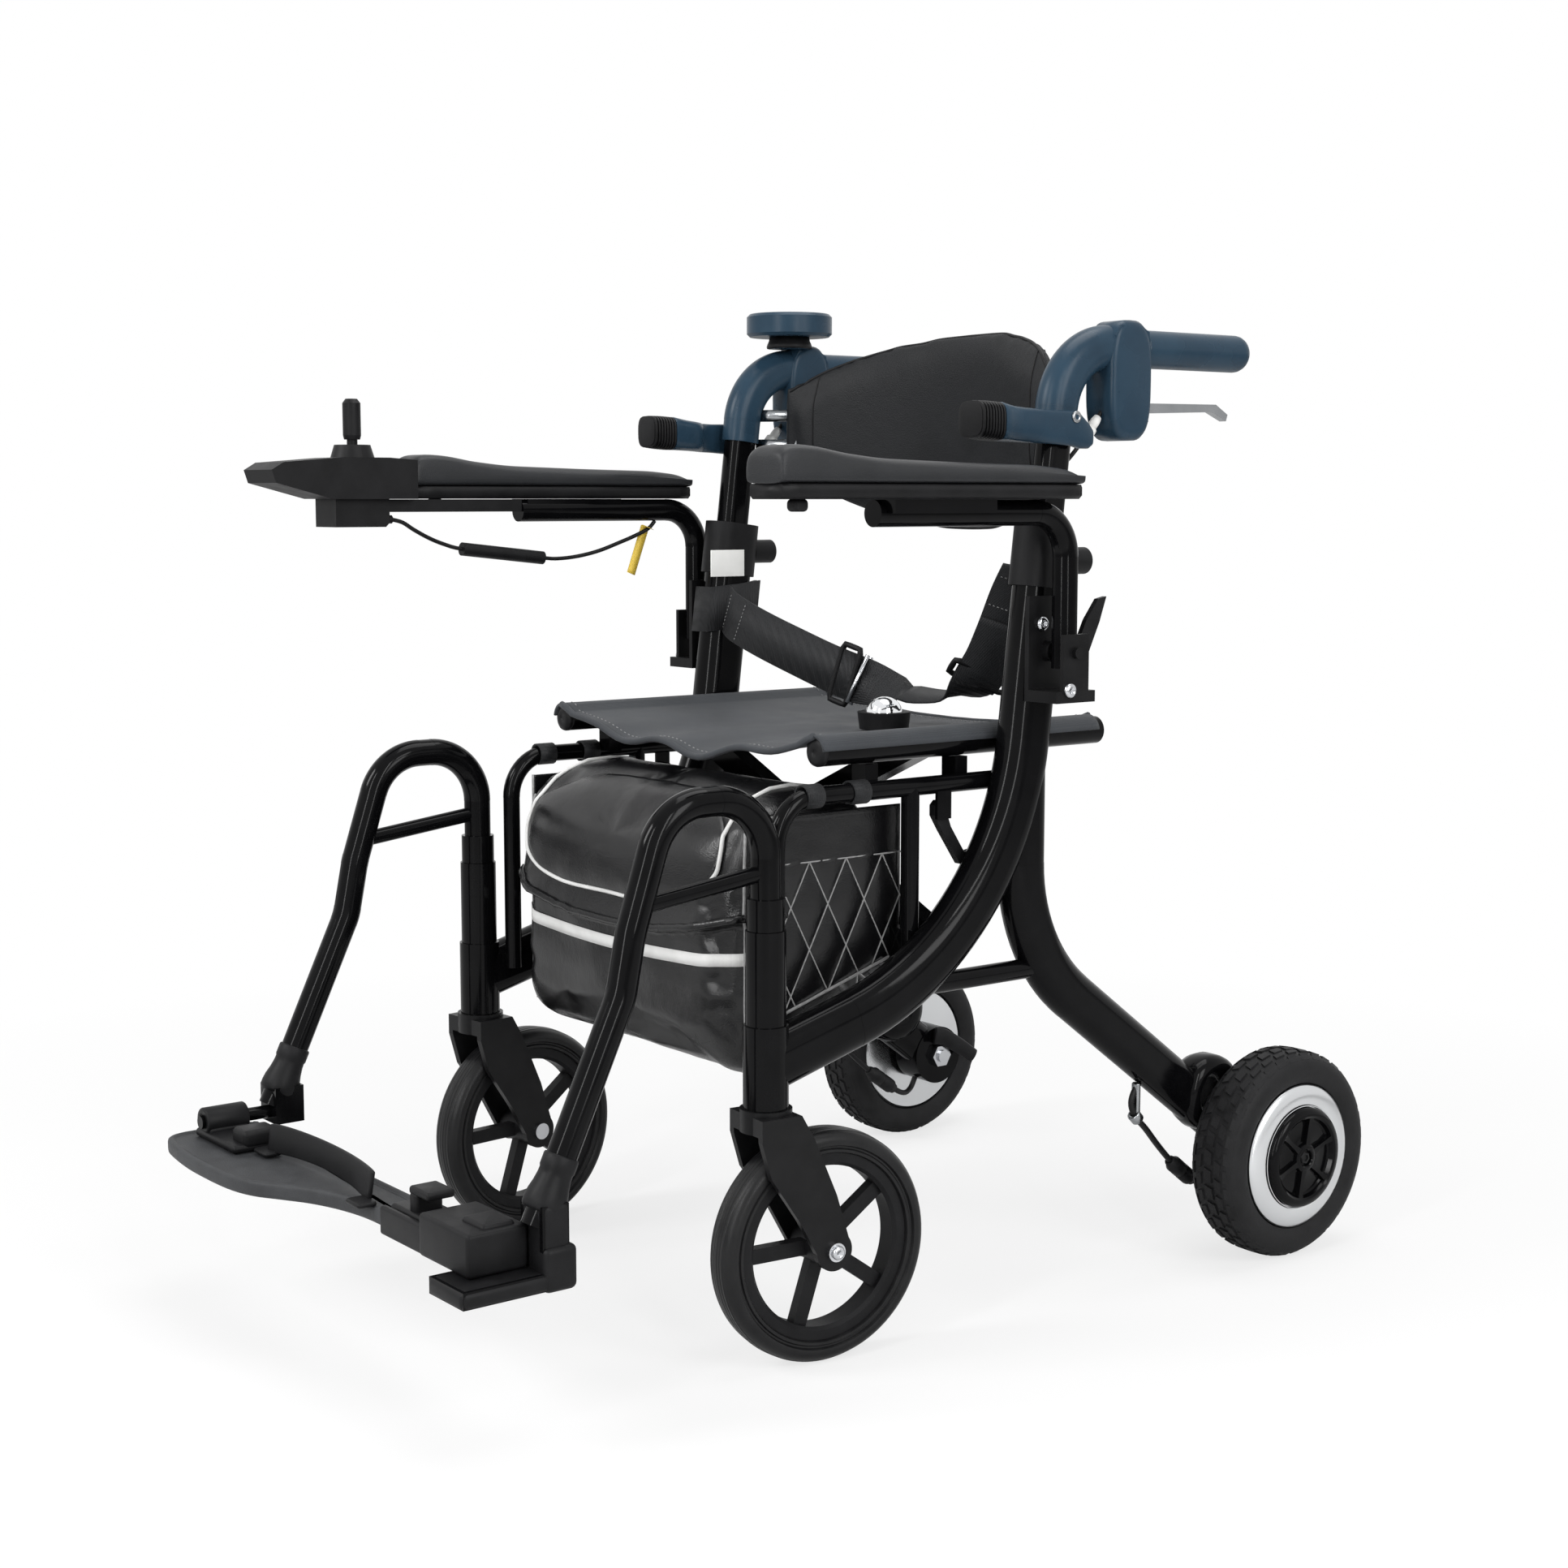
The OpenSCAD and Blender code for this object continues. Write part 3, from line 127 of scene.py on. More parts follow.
# %% [markdown]
# ## A mottled finish
#
# No real surface has one even colour and gloss. Here one soft cloud of noise moves both a little way
# between two limits, and a finer noise raises the grain. Almost every hard finish is made this way.


# %% A mottled finish
def ramp(tree, value, low, high):
    """Blend between two colours over the middle of a noise's range."""
    made = add_node(tree, "ShaderNodeValToRGB", Fac=value)
    for element, place, colour in zip(made.color_ramp.elements, (0.3, 0.7), (low, high)):
        element.position, element.color = place, (*colour, 1)
    return made.outputs["Color"]


def spread(tree, value, low, high):
    """Stretch the middle of a noise's range to low to high."""
    return add_node(tree, "ShaderNodeMapRange", Value=value, From_Min=0.3, From_Max=0.7, To_Min=low,
                    To_Max=high).outputs["Result"]


def bump(tree, height, depth, **sockets):
    return add_node(tree, "ShaderNodeBump", Height=height, Distance=depth, **sockets).outputs["Normal"]


def clouded(tree, principled, cloud, low, high, rough):
    """Let a cloud of noise vary the colour and the gloss."""
    feed(tree, principled, Base_Color=ramp(tree, cloud, low, high), Roughness=spread(tree, cloud, *rough))


def mottled(name, low, high, rough, mottle=40.0, grain=900.0, grain_depth=0.0002, **sockets):
    """A finish with a slight mottle in colour and gloss and a fine grain."""
    material, tree, principled, places = shader(name, **sockets)
    clouded(tree, principled, noise_value(tree, places, mottle), low, high, rough)
    feed(tree, principled, Normal=bump(tree, noise_value(tree, places, grain, 2.0), grain_depth))
    return material


print("mottled finish ready")

# %% [markdown]
# ## Hard finishes
#
# The tubes are gloss black, with the faint orange peel of sprayed paint. Moulded pieces are matt
# with a fine spark-eroded grain. The handles are one grey blue. The motors are satin silver, spun on a
# lathe: a radial tangent stretches the highlight across the tool marks.

# %% Hard finishes
gloss_black = mottled("gloss_black_paint", (0.0018, 0.0018, 0.0021), (0.003, 0.003, 0.0034),
                      (0.10, 0.14), grain=300, grain_depth=0.000002, Specular_IOR_Level=0.1)
satin_black = mottled("satin_black_paint", (0.005, 0.005, 0.0054), (0.008, 0.008, 0.0085),
                      (0.30, 0.40), grain=1500, grain_depth=0.00006, Specular_IOR_Level=0.14)
moulded_black = mottled("moulded_black", (0.005, 0.005, 0.0055), (0.009, 0.009, 0.0098),
                        (0.40, 0.52), grain=1800, grain_depth=0.0001, Specular_IOR_Level=0.14)
handle_blue = mottled("handle_blue", (0.0145, 0.033, 0.054), (0.0185, 0.042, 0.067),
                      (0.24, 0.32), mottle=25, grain=1600, grain_depth=0.00006, Specular_IOR_Level=0.16)
plate_grey = mottled("footplate_grey", (0.026, 0.027, 0.029), (0.044, 0.046, 0.049),
                     (0.5, 0.66), grain=700, grain_depth=0.0003, Specular_IOR_Level=0.25)
satin_silver = mottled("satin_silver", (0.62, 0.63, 0.64), (0.66, 0.67, 0.68),
                       (0.18, 0.22), mottle=12, grain=2200, grain_depth=0.00002, Metallic=1.0,
                       Anisotropic=0.6)
spun_tree = satin_silver.node_tree
spun = spun_tree.nodes.new("ShaderNodeTangent")
spun.direction_type, spun.axis = "RADIAL", "X"
feed(spun_tree, spun_tree.nodes["Principled BSDF"], Tangent=spun.outputs["Tangent"])
bright_steel = mottled("bright_steel", (0.50, 0.51, 0.53), (0.58, 0.59, 0.61),
                       (0.16, 0.26), grain=1200, grain_depth=0.00004, Metallic=1.0)
chrome = mottled("chrome", (0.78, 0.79, 0.81), (0.86, 0.87, 0.88),
                 (0.05, 0.1), grain=300, grain_depth=0.00002, Metallic=1.0)
tyre_rubber = mottled("tyre_rubber", (0.007, 0.007, 0.0075), (0.014, 0.014, 0.0148),
                      (0.5, 0.68), mottle=60, grain=700, grain_depth=0.0002, Specular_IOR_Level=0.16)
cable_black = mottled("cable_black", (0.005, 0.005, 0.0055), (0.009, 0.009, 0.0095),
                      (0.35, 0.5), grain=1200, grain_depth=0.0001, Specular_IOR_Level=0.2)
lever_steel = mottled("lever_steel", (0.26, 0.27, 0.28), (0.34, 0.35, 0.36),
                      (0.16, 0.26), grain=1200, grain_depth=0.00003, Metallic=1.0)
front_rubber = mottled("front_rubber", (0.005, 0.005, 0.0055), (0.008, 0.008, 0.0085),
                       (0.30, 0.42), mottle=60, grain=900, grain_depth=0.00008, Specular_IOR_Level=0.22)
white_nylon = mottled("white_nylon", (0.74, 0.74, 0.72), (0.84, 0.84, 0.82),
                      (0.35, 0.5), grain=900, grain_depth=0.00005)
yellow_tag = mottled("yellow_tag", (0.66, 0.46, 0.05), (0.78, 0.56, 0.08),
                     (0.5, 0.62), grain=800, grain_depth=0.0001)
print("hard finishes:", len(bpy.data.materials))

# %% [markdown]
# ## Soft finishes
#
# Leather and coated cloth have a pebble grain, which cell noise gives. Woven nylon and webbing show
# two crossing sets of threads: two wave textures, multiplied, stand for them.


# %% Soft finishes
WAVE_SCALE = 0.31416  # scale of a wave texture whose bands are one metre apart, times that metre


def combined(tree, operation, first, second):
    """One value from two, by a Math node."""
    made = tree.nodes.new("ShaderNodeMath")
    made.operation = operation
    tree.links.new(first, made.inputs[0])
    tree.links.new(second, made.inputs[1])
    return made.outputs["Value"]


def grained_skin(name, low, high, rough, pebble=700.0, depth=0.0002, wrinkle=0.0006, **sockets):
    """Coated cloth or skinned foam: pebbles from cell noise over soft wrinkles."""
    material, tree, principled, places = shader(name, **sockets)
    clouded(tree, principled, noise_value(tree, places, 18, 4.0), low, high, rough)
    cells = add_node(tree, "ShaderNodeTexVoronoi", Vector=places, Scale=pebble).outputs["Distance"]
    wrinkles = bump(tree, noise_value(tree, places, 55, 3.0), wrinkle)
    feed(tree, principled, Normal=bump(tree, cells, depth, Normal=wrinkles))
    return material


def woven(name, low, high, rough, thread, depth, **sockets):
    """Woven cloth: two crossing sets of threads, thread metres apart."""
    material, tree, principled, places = shader(name, **sockets)
    clouded(tree, principled, noise_value(tree, places, 30, 4.0), low, high, rough)
    waves = []
    for direction in ("X", "Y"):
        wave = add_node(tree, "ShaderNodeTexWave", Vector=places, Scale=WAVE_SCALE / thread, Distortion=0.4)
        wave.bands_direction = direction
        waves.append(wave.outputs["Fac"])
    feed(tree, principled, Normal=bump(tree, combined(tree, "MULTIPLY", *waves), depth))
    return material


pad_skin = grained_skin("armrest_skin", (0.011, 0.0118, 0.0132), (0.016, 0.017, 0.019), (0.36, 0.46),
                        pebble=1100, depth=0.00012, wrinkle=0.0002, Specular_IOR_Level=0.25)
back_skin = grained_skin("backrest_skin", (0.0065, 0.007, 0.008), (0.010, 0.0106, 0.012), (0.46, 0.6),
                         pebble=900, depth=0.0002, wrinkle=0.0005, Specular_IOR_Level=0.18)
bag_skin = grained_skin("bag_skin", (0.0025, 0.0025, 0.0029), (0.0045, 0.0045, 0.005), (0.20, 0.30),
                        pebble=800, depth=0.0001, wrinkle=0.0005, Specular_IOR_Level=0.36)
sling_cloth = woven("sling_nylon", (0.028, 0.031, 0.0355), (0.039, 0.043, 0.049), (0.55, 0.7),
                    0.0012, 0.0002, Sheen_Weight=0.06, Specular_IOR_Level=0.25)
belt_webbing = woven("belt_webbing", (0.007, 0.0074, 0.0085), (0.012, 0.0126, 0.014), (0.5, 0.65),
                     0.0016, 0.0004, Sheen_Weight=0.03, Specular_IOR_Level=0.25)
reflective_tape = woven("reflective_tape", (0.55, 0.55, 0.54), (0.70, 0.70, 0.69), (0.35, 0.5),
                        0.0012, 0.0001)
quilt_thread = mottled("quilt_thread", (0.20, 0.20, 0.20), (0.32, 0.32, 0.32), (0.6, 0.75),
                       mottle=300, grain=2500, grain_depth=0.0002)
print("all finishes:", len(bpy.data.materials))

# %% [markdown]
# ## Dress the CAD solids
#
# A solid whose shape is right stays as it is and only gets a finish. The name of a node without its
# side says which finish it takes.

# %% Dress the CAD solids
FINISH = {
    gloss_black: ["side_frame", "hanger", "arm_tube", "front_brace", "rear_brace", "handle_tube"],
    satin_black: ["caster_fork", "arm_bracket"],
    moulded_black: ["height_collar", "hub_cap", "front_rim", "foot_strap", "arm_latch", "fold_latch",
                    "belt_buckle", "joystick_housing", "joystick_stick", "battery_pack",
                    "lead_barrel", "lock_lever"],
    handle_blue: ["handle_arc", "grip", "palm_knob"],
    plate_grey: ["footplate"],
    satin_silver: ["motor_shell"],
    bright_steel: ["motor_axle", "front_axle", "joystick_gimbal"],
    lever_steel: ["brake_lever"],
    chrome: ["buckle_button"],
    tyre_rubber: ["rear_tyre"],
    front_rubber: ["front_tyre"],
    cable_black: ["motor_lead", "joystick_lead"],
    pad_skin: ["arm_pad"],
    back_skin: ["backrest_pad"],
    bag_skin: ["storage_bag"],
    sling_cloth: ["seat_sling"],
    belt_webbing: ["lap_belt"],
}
finish_of = {base: material for material, bases in FINISH.items() for base in bases}


def base_name(node):
    for side in ("right_", "left_"):
        if node.startswith(side):
            return node[len(side):]
    return node


for name, solid in nodes.items():
    solid.data.materials.clear()
    solid.data.materials.append(finish_of[base_name(name)])
print("dressed", len(nodes), "solids")

# %% [markdown]
# ## Soften hard edges
#
# No moulding or deburred tube has a knife edge, and a rounded edge catches a thin line of light. A bevel
# modifier rounds each hard edge of a solid and leaves the CAD mesh as it is.

# %% Soften hard edges
SOFT_EDGE = {"handle_arc": 0.0026, "arm_bracket": 0.0012, "height_collar": 0.0014, "caster_fork": 0.0014,
             "joystick_housing": 0.0022, "arm_latch": 0.001, "fold_latch": 0.001, "hanger": 0.0012,
             "arm_tube": 0.001, "belt_buckle": 0.0014, "joystick_stick": 0.001, "palm_knob": 0.0016,
             "brake_lever": 0.0008, "front_rim": 0.0008, "battery_pack": 0.003, "motor_axle": 0.0008}
for name, solid in nodes.items():
    width = SOFT_EDGE.get(base_name(name))
    if width:
        edge = solid.modifiers.new("soft_edges", "BEVEL")
        edge.width, edge.segments = width, 2
        edge.limit_method, edge.angle_limit = "ANGLE", math.radians(38)
        edge.harden_normals = True
print("softened the edges of", sum(base_name(name) in SOFT_EDGE for name in nodes), "solids")

# %% [markdown]
# ## Pieces from points
#
# Most pieces here are lofts: rings of points joined by faces. Sizes are given in millimetres, as on
# a workshop drawing, and turned into metres in one place.

# %% Pieces from points
MM = 0.001
SIDES = {"left": 1, "right": -1}


def metres(points):
    return [Vector(p) * MM for p in points]


def riding(name, data, body):
    """An object that moves with a body."""
    made = linked(name, data)
    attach(made, body)
    return made


def make_piece(name, shape, material, body, smooth=True, sharp=None):
    """A mesh piece from points in millimetres and faces. Edges of more than sharp degrees stay sharp."""
    points, faces = shape
    mesh = bpy.data.meshes.new(name)
    mesh.from_pydata(metres(points), [], faces)
    mesh.validate()
    tidy = bmesh.new()
    tidy.from_mesh(mesh)
    bmesh.ops.recalc_face_normals(tidy, faces=tidy.faces)
    tidy.to_mesh(mesh)
    tidy.free()
    mesh.polygons.foreach_set("use_smooth", [smooth] * len(mesh.polygons))
    if sharp:
        mesh.set_sharp_from_angle(angle=math.radians(sharp))
    mesh.materials.append(material)
    return riding(name, mesh, body)


def loft_faces(rings, closed_path=False, capped=True):
    """Points and faces of a skin over closed rings of equal length."""
    count = len(rings[0])
    points = [p for ring in rings for p in ring]
    pairs = len(rings) if closed_path else len(rings) - 1
    faces = []
    for r in range(pairs):
        a, b = r * count, (r + 1) % len(rings) * count
        for i in range(count):
            k = (i + 1) % count
            faces.append((a + i, a + k, b + k, b + i))
    if capped and not closed_path:
        faces.append(tuple(reversed(range(count))))
        faces.append(tuple(range(len(points) - count, len(points))))
    return points, faces


def joined(parts):
    """One list of points and faces from several."""
    points, faces = [], []
    for part_points, part_faces in parts:
        shift = len(points)
        points.extend(part_points)
        faces.extend(tuple(i + shift for i in face) for face in part_faces)
    return points, faces


print("one millimetre is", MM, "m")

# %% [markdown]
# ## Routes and tubes
#
# Cables, piping and seams follow a route. A smooth curve through a few given points gives the route, and
# a ring carried along it, without twisting, gives the tube.


# %% Routes and tubes
def smooth_route(points, steps):
    """Points of a smooth curve through the given ones."""
    route = [Vector(p) for p in points]
    out = []
    for i in range(len(route) - 1):
        a, b = route[max(i - 1, 0)], route[i]
        c, d = route[i + 1], route[min(i + 2, len(route) - 1)]
        for k in range(steps):
            t = k / steps
            out.append(0.5 * (2 * b + (c - a) * t + (2 * a - 5 * b + 4 * c - d) * t ** 2
                              + (3 * b - a - 3 * c + d) * t ** 3))
    return out + [route[-1]]


def route_length(path):
    """Length of a route, in metres."""
    return sum((b - a).length for a, b in zip(path, path[1:])) * MM


def tangents(path, closed=False):
    last = len(path) - 1
    if closed:
        return [(path[(i + 1) % len(path)] - path[i - 1]).normalized() for i in range(len(path))]
    return [(path[min(i + 1, last)] - path[max(i - 1, 0)]).normalized() for i in range(len(path))]


def tube(path, radius, sides=8, closed=False):
    """A round skin along a path."""
    rings = []
    across = None
    for at, along in zip(path, tangents(path, closed)):
        if across is None:
            across = along.orthogonal()
        across = (across - along * across.dot(along)).normalized()
        other = along.cross(across)
        rings.append([at + radius * (math.cos(k * math.tau / sides) * across
                                     + math.sin(k * math.tau / sides) * other) for k in range(sides)])
    return loft_faces(rings, closed_path=closed)


print("route and tube tools ready")

# %% [markdown]
# ## Turned shapes and boxes
#
# Round pieces come off a lathe: a profile swept round an axis. Moulded blocks have rounded corners and
# softened ends, so a box is lofted from rings that draw in towards its top and bottom.


# %% Turned shapes and boxes
def turned(profile, centre, axis=(1, 0, 0), steps=64):
    """A lathe shape: profile is (radius, distance along the axis)."""
    axis = Vector(axis).normalized()
    across = axis.orthogonal().normalized()
    other = axis.cross(across)
    centre = Vector(centre)
    rings = []
    for k in range(steps):
        angle = k * math.tau / steps
        out = math.cos(angle) * across + math.sin(angle) * other
        rings.append([centre + axis * x + out * r for r, x in profile])
    return loft_faces(rings, closed_path=True)


def reflected(half):
    """The other half of a profile that is the same both ways along its axis."""
    return [(r, -x) for r, x in reversed(half)]


def rounded_box(centre, size, radius, steps=4):
    """A box with rounded vertical edges and softened ends, lofted along Z."""
    half = Vector(size) / 2
    radius = min(radius, half.x, half.y)
    soft = 0.9 * min(radius, half.z)  # less than the corner radius, so that no corner shrinks to a point
    levels = [(-half.z + soft * (1 - math.cos(a)), soft * (1 - math.sin(a)))
              for a in (math.radians(90 * k / steps) for k in range(steps + 1))]
    levels += [(-z, inset) for z, inset in reversed(levels)]
    rings = []
    for z, inset in levels:
        ring = []
        for quarter, (sx, sy) in enumerate(((1, 1), (-1, 1), (-1, -1), (1, -1))):
            for k in range(steps + 1):
                a = math.radians(90 * (quarter + k / steps))
                ring.append(Vector(centre) + Vector((
                    sx * (half.x - radius) + (radius - inset) * math.cos(a),
                    sy * (half.y - radius) + (radius - inset) * math.sin(a), z)))
        rings.append(ring)
    return loft_faces(rings)


print("lathe and box tools ready")

# %% [markdown]
# ## Joystick lead
#
# A powered chair needs wires. The joystick's lead hangs from the control box to the arm tube, through a
# barrel that blocks interference, and a yellow tie holds it. A curve with a round bevel draws a lead: its
# centreline stays true, so its length can be measured.


# %% Joystick lead
def lead_curve(name, route, diameter, body):
    path = smooth_route(route, 4)
    curve = bpy.data.curves.new(name, "CURVE")
    curve.dimensions = "3D"
    curve.bevel_depth = diameter / 2 * MM
    curve.bevel_resolution = 3
    curve.use_fill_caps = True
    spline = curve.splines.new("POLY")
    spline.points.add(len(path) - 1)
    for spot, at in zip(spline.points, metres(path)):
        spot.co = (*at, 1)
    curve.materials.append(cable_black)
    return riding(name, curve, body), path, route_length(path)


ARM_TUBE_X = 275
JOYSTICK_ROUTE = [(-239, 702), (-227, 699), (-215, 692), (-199, 684), (-183, 678), (-163, 673), (-117, 668),
                  (-71, 663), (-53, 662), (-30, 664), (-5, 669), (20, 677), (40, 684), (56, 691), (64, 698.6)]
lead, lead_path, lead_length = lead_curve(
    "joystick_lead_cable", [(-ARM_TUBE_X, y, z) for y, z in JOYSTICK_ROUTE], 4, "right_arm")
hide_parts("joystick_lead")

tie_top = lead_path[-6]
tie_route = smooth_route([tie_top + Vector(step) for step in
                          ((4, 3, 2), (0, 0, 4), (-4, 0, -2), (-3, -6, -16), (-2, -17, -44))], 5)
tie_rings = [[at + Vector((0.7 * sx, 4.4 * sy, -1.7 * sy)) for sx, sy in ((1, 1), (-1, 1), (-1, -1), (1, -1))]
             for at in tie_route]
tie = make_piece("joystick_lead_tie", loft_faces(tie_rings), yellow_tag, "right_arm")
print("joystick lead", round(lead_length, 3), "m")

# %% [markdown]
# ## Motor leads
#
# Each motor's lead runs from the axle boss up to the rear leg, with a plug and socket half way, so that
# the wheel can come off. The plug is turned, on the straight stretch of the route.

# %% Motor leads
FRAME_X = 232  # side frames stand at this distance from the middle
MOTOR_ROUTE = [(0, 384.5, 74), (-2, 376, 63), (-7, 361, 61), (-8, 341, 72), (-6, 317, 90), (-3, 293, 112),
               (0, 273, 132), (0, 259, 146), (0, 253, 158), (0, 255, 168), (0, 262, 177.4)]
for side, sign in SIDES.items():
    route = [(sign * (FRAME_X + x), y, z) for x, y, z in MOTOR_ROUTE]
    lead, path, length = lead_curve(side + "_motor_cable", route, 6, side + "_frame")
    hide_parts(side + "_motor_lead")
    plug_from, plug_to = Vector(route[3]), Vector(route[4])
    way = (plug_to - plug_from).normalized()
    plug = turned([(3.2, -7), (5.4, -6.4), (6.2, -2), (7.6, -1), (8, 1), (8, 13), (7.2, 14), (7.2, 15.5),
                   (8, 16.5), (8, 29), (6.4, 31), (5.2, 36), (3.2, 37)], plug_from, way, 24)
    plug_piece = make_piece(side + "_motor_plug", plug, moulded_black, side + "_frame")
    print(side, "motor lead", round(length, 3), "m")

# %% [markdown]
# ## Rear tyres
#
# The rear tyres are air tyres with a knobby tread, for grip outdoors. The carcass is turned. The tread
# blocks are set on it one by one, in rows that step round by half a pitch.


# %% Rear tyres
REAR_HUB = (281, 404, 100)
TREAD_PITCHES = 36
TREAD_LIMIT = 99.9  # just clear of the floor


def rear_hub(sign, x=REAR_HUB[0]):
    return Vector((sign * x, *REAR_HUB[1:]))


def rear_tyre(sign):
    centre = rear_hub(sign)
    half = [(70.2, -24), (74, -26.4), (80, -27.6), (86, -27.6), (91.5, -25.6), (95.6, -21.5), (97.4, -15),
            (98, -8)]
    parts = [turned(half + reflected(half), centre, steps=108)]
    pitch = math.tau / TREAD_PITCHES
    # each row of blocks: both edges, the radius at each, its step round and its height
    rows = [(-5, 5, 97.6, 97.6, 0.0, 2.1), (7.5, 15, 97.7, 97.2, 0.5, 2.0), (-15, -7.5, 97.2, 97.7, 0.5, 2.0),
            (17, 25, 96.4, 91.5, 0.0, 1.8), (-25, -17, 91.5, 96.4, 0.0, 1.8)]
    for k in range(TREAD_PITCHES):
        for x0, x1, r0, r1, shift, height in rows:
            start = (k + shift) * pitch
            wide = 0.66 * pitch
            lean = 0.16 * pitch * (1 if (x0 + x1) >= 0 else -1)
            points = []
            for lift, draw in ((-1.0, 0.0), (height, 0.7)):
                for x, r, turn in ((x0 + draw, r0, start), (x1 - draw, r1, start + lean),
                                   (x1 - draw, r1, start + lean + wide), (x0 + draw, r0, start + wide)):
                    radius = min(r + lift, TREAD_LIMIT)
                    points.append(centre + Vector((x, radius * math.cos(turn), radius * math.sin(turn))))
            parts.append((points, [(3, 2, 1, 0), (4, 5, 6, 7), (0, 1, 5, 4), (1, 2, 6, 5), (2, 3, 7, 6),
                                   (3, 0, 4, 7)]))
    return joined(parts)


for side, sign in SIDES.items():
    tyre = make_piece(side + "_rear_tread", rear_tyre(sign), tyre_rubber, side + "_rear_wheel",
                      sharp=35)
    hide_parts(side + "_rear_tyre")
print("rear tyres of", len(tyre.data.polygons), "faces")

# %% [markdown]
# ## Front tyres
#
# The front tyres are solid rubber on castors, with fine ribs round them. They stand a little askew, as
# castors do after a turn, so each is turned about its own axle.

# %% Front tyres
TOE = math.radians(6)  # how far the castors are turned
TRAIL = 51  # from the castor's pivot back to its axle
CASTER_PIVOT_Y = -175
CASTER = Vector((FRAME_X + TRAIL * math.sin(TOE), TRAIL * math.cos(TOE) + CASTER_PIVOT_Y, 100))
FRONT_HALF = [(80.1, 12.5), (81.2, 14.6), (83.5, 14.9), (84.6, 13.6), (86, 13.8), (87.2, 16.2), (90, 17),
              (93.6, 16), (96.6, 13.2), (98.4, 10), (98.6, 9.4), (99.2, 8.8), (99.3, 6.4), (98.9, 5.9),
              (99.5, 5.4), (99.8, 2.6), (99.4, 2.1), (99.9, 1.6), (100, 0)]
front_profile = FRONT_HALF + reflected(FRONT_HALF[:-1])
for side, sign in SIDES.items():
    centre = (sign * CASTER.x, CASTER.y, CASTER.z)
    axle = (math.cos(TOE), -sign * math.sin(TOE), 0)
    tyre = make_piece(side + "_front_tread", turned(front_profile, centre, axle, 120), front_rubber,
                      side + "_front_wheel", sharp=40)
    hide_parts(side + "_front_tyre")
print("front tyres round", [round(v) for v in centre])

# %% [markdown]
# ## Cloth tools
#
# Padded fabric gets its look from pressure: filling pushes the skin out until it is tight. Blender's
# cloth does the same to a closed mesh of even faces. The swelling is held to a limit and smoothed, and the
# result is baked, so that the piece is a plain mesh again.


# %% Cloth tools
CLOTH_STEPS = 20


def part_way(low, high, share):
    return low + (high - low) * share


def between(table, at):
    """Value of a table of (place, value) rows, in straight steps."""
    for (a, low), (b, high) in zip(table, table[1:]):
        if at <= b:
            return part_way(low, high, max(at - a, 0) / (b - a))
    return table[-1][1]


def applied(piece):
    """Bake a piece's modifiers into its mesh."""
    depsgraph = bpy.context.evaluated_depsgraph_get()
    baked = bpy.data.meshes.new_from_object(piece.evaluated_get(depsgraph))
    piece.modifiers.clear()
    piece.data = baked


def inflated(piece, pressure, cap, calm, voxel=0.005):
    """Swell a closed skin under cloth pressure, no point further than cap metres, and smooth it calm times."""
    remesh = piece.modifiers.new("even_faces", "REMESH")
    remesh.mode = "VOXEL"
    remesh.voxel_size = voxel
    remesh.use_smooth_shade = True
    applied(piece)
    rest = [v.co.copy() for v in piece.data.vertices]
    cloth = piece.modifiers.new("pressure", "CLOTH")
    cloth.settings.use_pressure = True
    cloth.settings.uniform_pressure_force = pressure
    cloth.settings.effector_weights.gravity = 0
    cloth.point_cache.frame_start, cloth.point_cache.frame_end = 1, CLOTH_STEPS
    for step in range(1, CLOTH_STEPS + 1):
        scene.frame_set(step)
    applied(piece)
    scene.frame_set(1)
    for vertex, start in zip(piece.data.vertices, rest):
        move = vertex.co - start
        if move.length > cap:
            vertex.co = start + move * cap / move.length
    smooth = piece.modifiers.new("calm_folds", "SMOOTH")
    smooth.factor, smooth.iterations = 0.5, calm
    finer = piece.modifiers.new("finer_faces", "SUBSURF")
    finer.levels = finer.render_levels = 1
    applied(piece)
    piece.data.polygons.foreach_set("use_smooth", [True] * len(piece.data.polygons))


print("cloth runs for", CLOTH_STEPS, "steps")

# %% [markdown]
# ## Bag shell
#
# The bag under the seat is soft leatherette on a light frame. Its shell is lofted ring by ring up the
# height, from tables of its half width, front and rear. Pressure then rounds its faces, so that they bulge
# between the edges.

# %% Bag shell
BAG_HALF = [(222, 142), (228, 163), (244, 176), (300, 181), (400, 182), (446, 181), (462, 176), (474, 160)]
BAG_FRONT = [(222, -112), (227, -142), (238, -157), (262, -164), (300, -166), (385, -165), (420, -160),
             (445, -152), (462, -138), (474, -112)]
BAG_REAR = [(222, -66), (232, -34), (256, -22), (440, -20), (462, -22), (474, -34)]


def folds_with_frame(piece):
    """Give a piece a mesh of its own."""
    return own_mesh(piece)


def corner_arc(centre, radius, start, steps=6):
    turns = [math.radians(start + 90 * k / steps) for k in range(steps + 1)]
    return [(centre[0] + radius * math.cos(turn), centre[1] + radius * math.sin(turn)) for turn in turns]


def bag_ring(z):
    half, front, rear = between(BAG_HALF, z), between(BAG_FRONT, z), between(BAG_REAR, z)
    corner = min(30, (rear - front) / 2 - 1)
    tight = min(12, corner)
    ring = corner_arc((half - tight, rear - tight), tight, 0)
    ring += corner_arc((tight - half, rear - tight), tight, 90)
    ring += corner_arc((corner - half, front + corner), corner, 180)
    ring += corner_arc((half - corner, front + corner), corner, 270)
    return [Vector((x, y, z)) for x, y in ring]


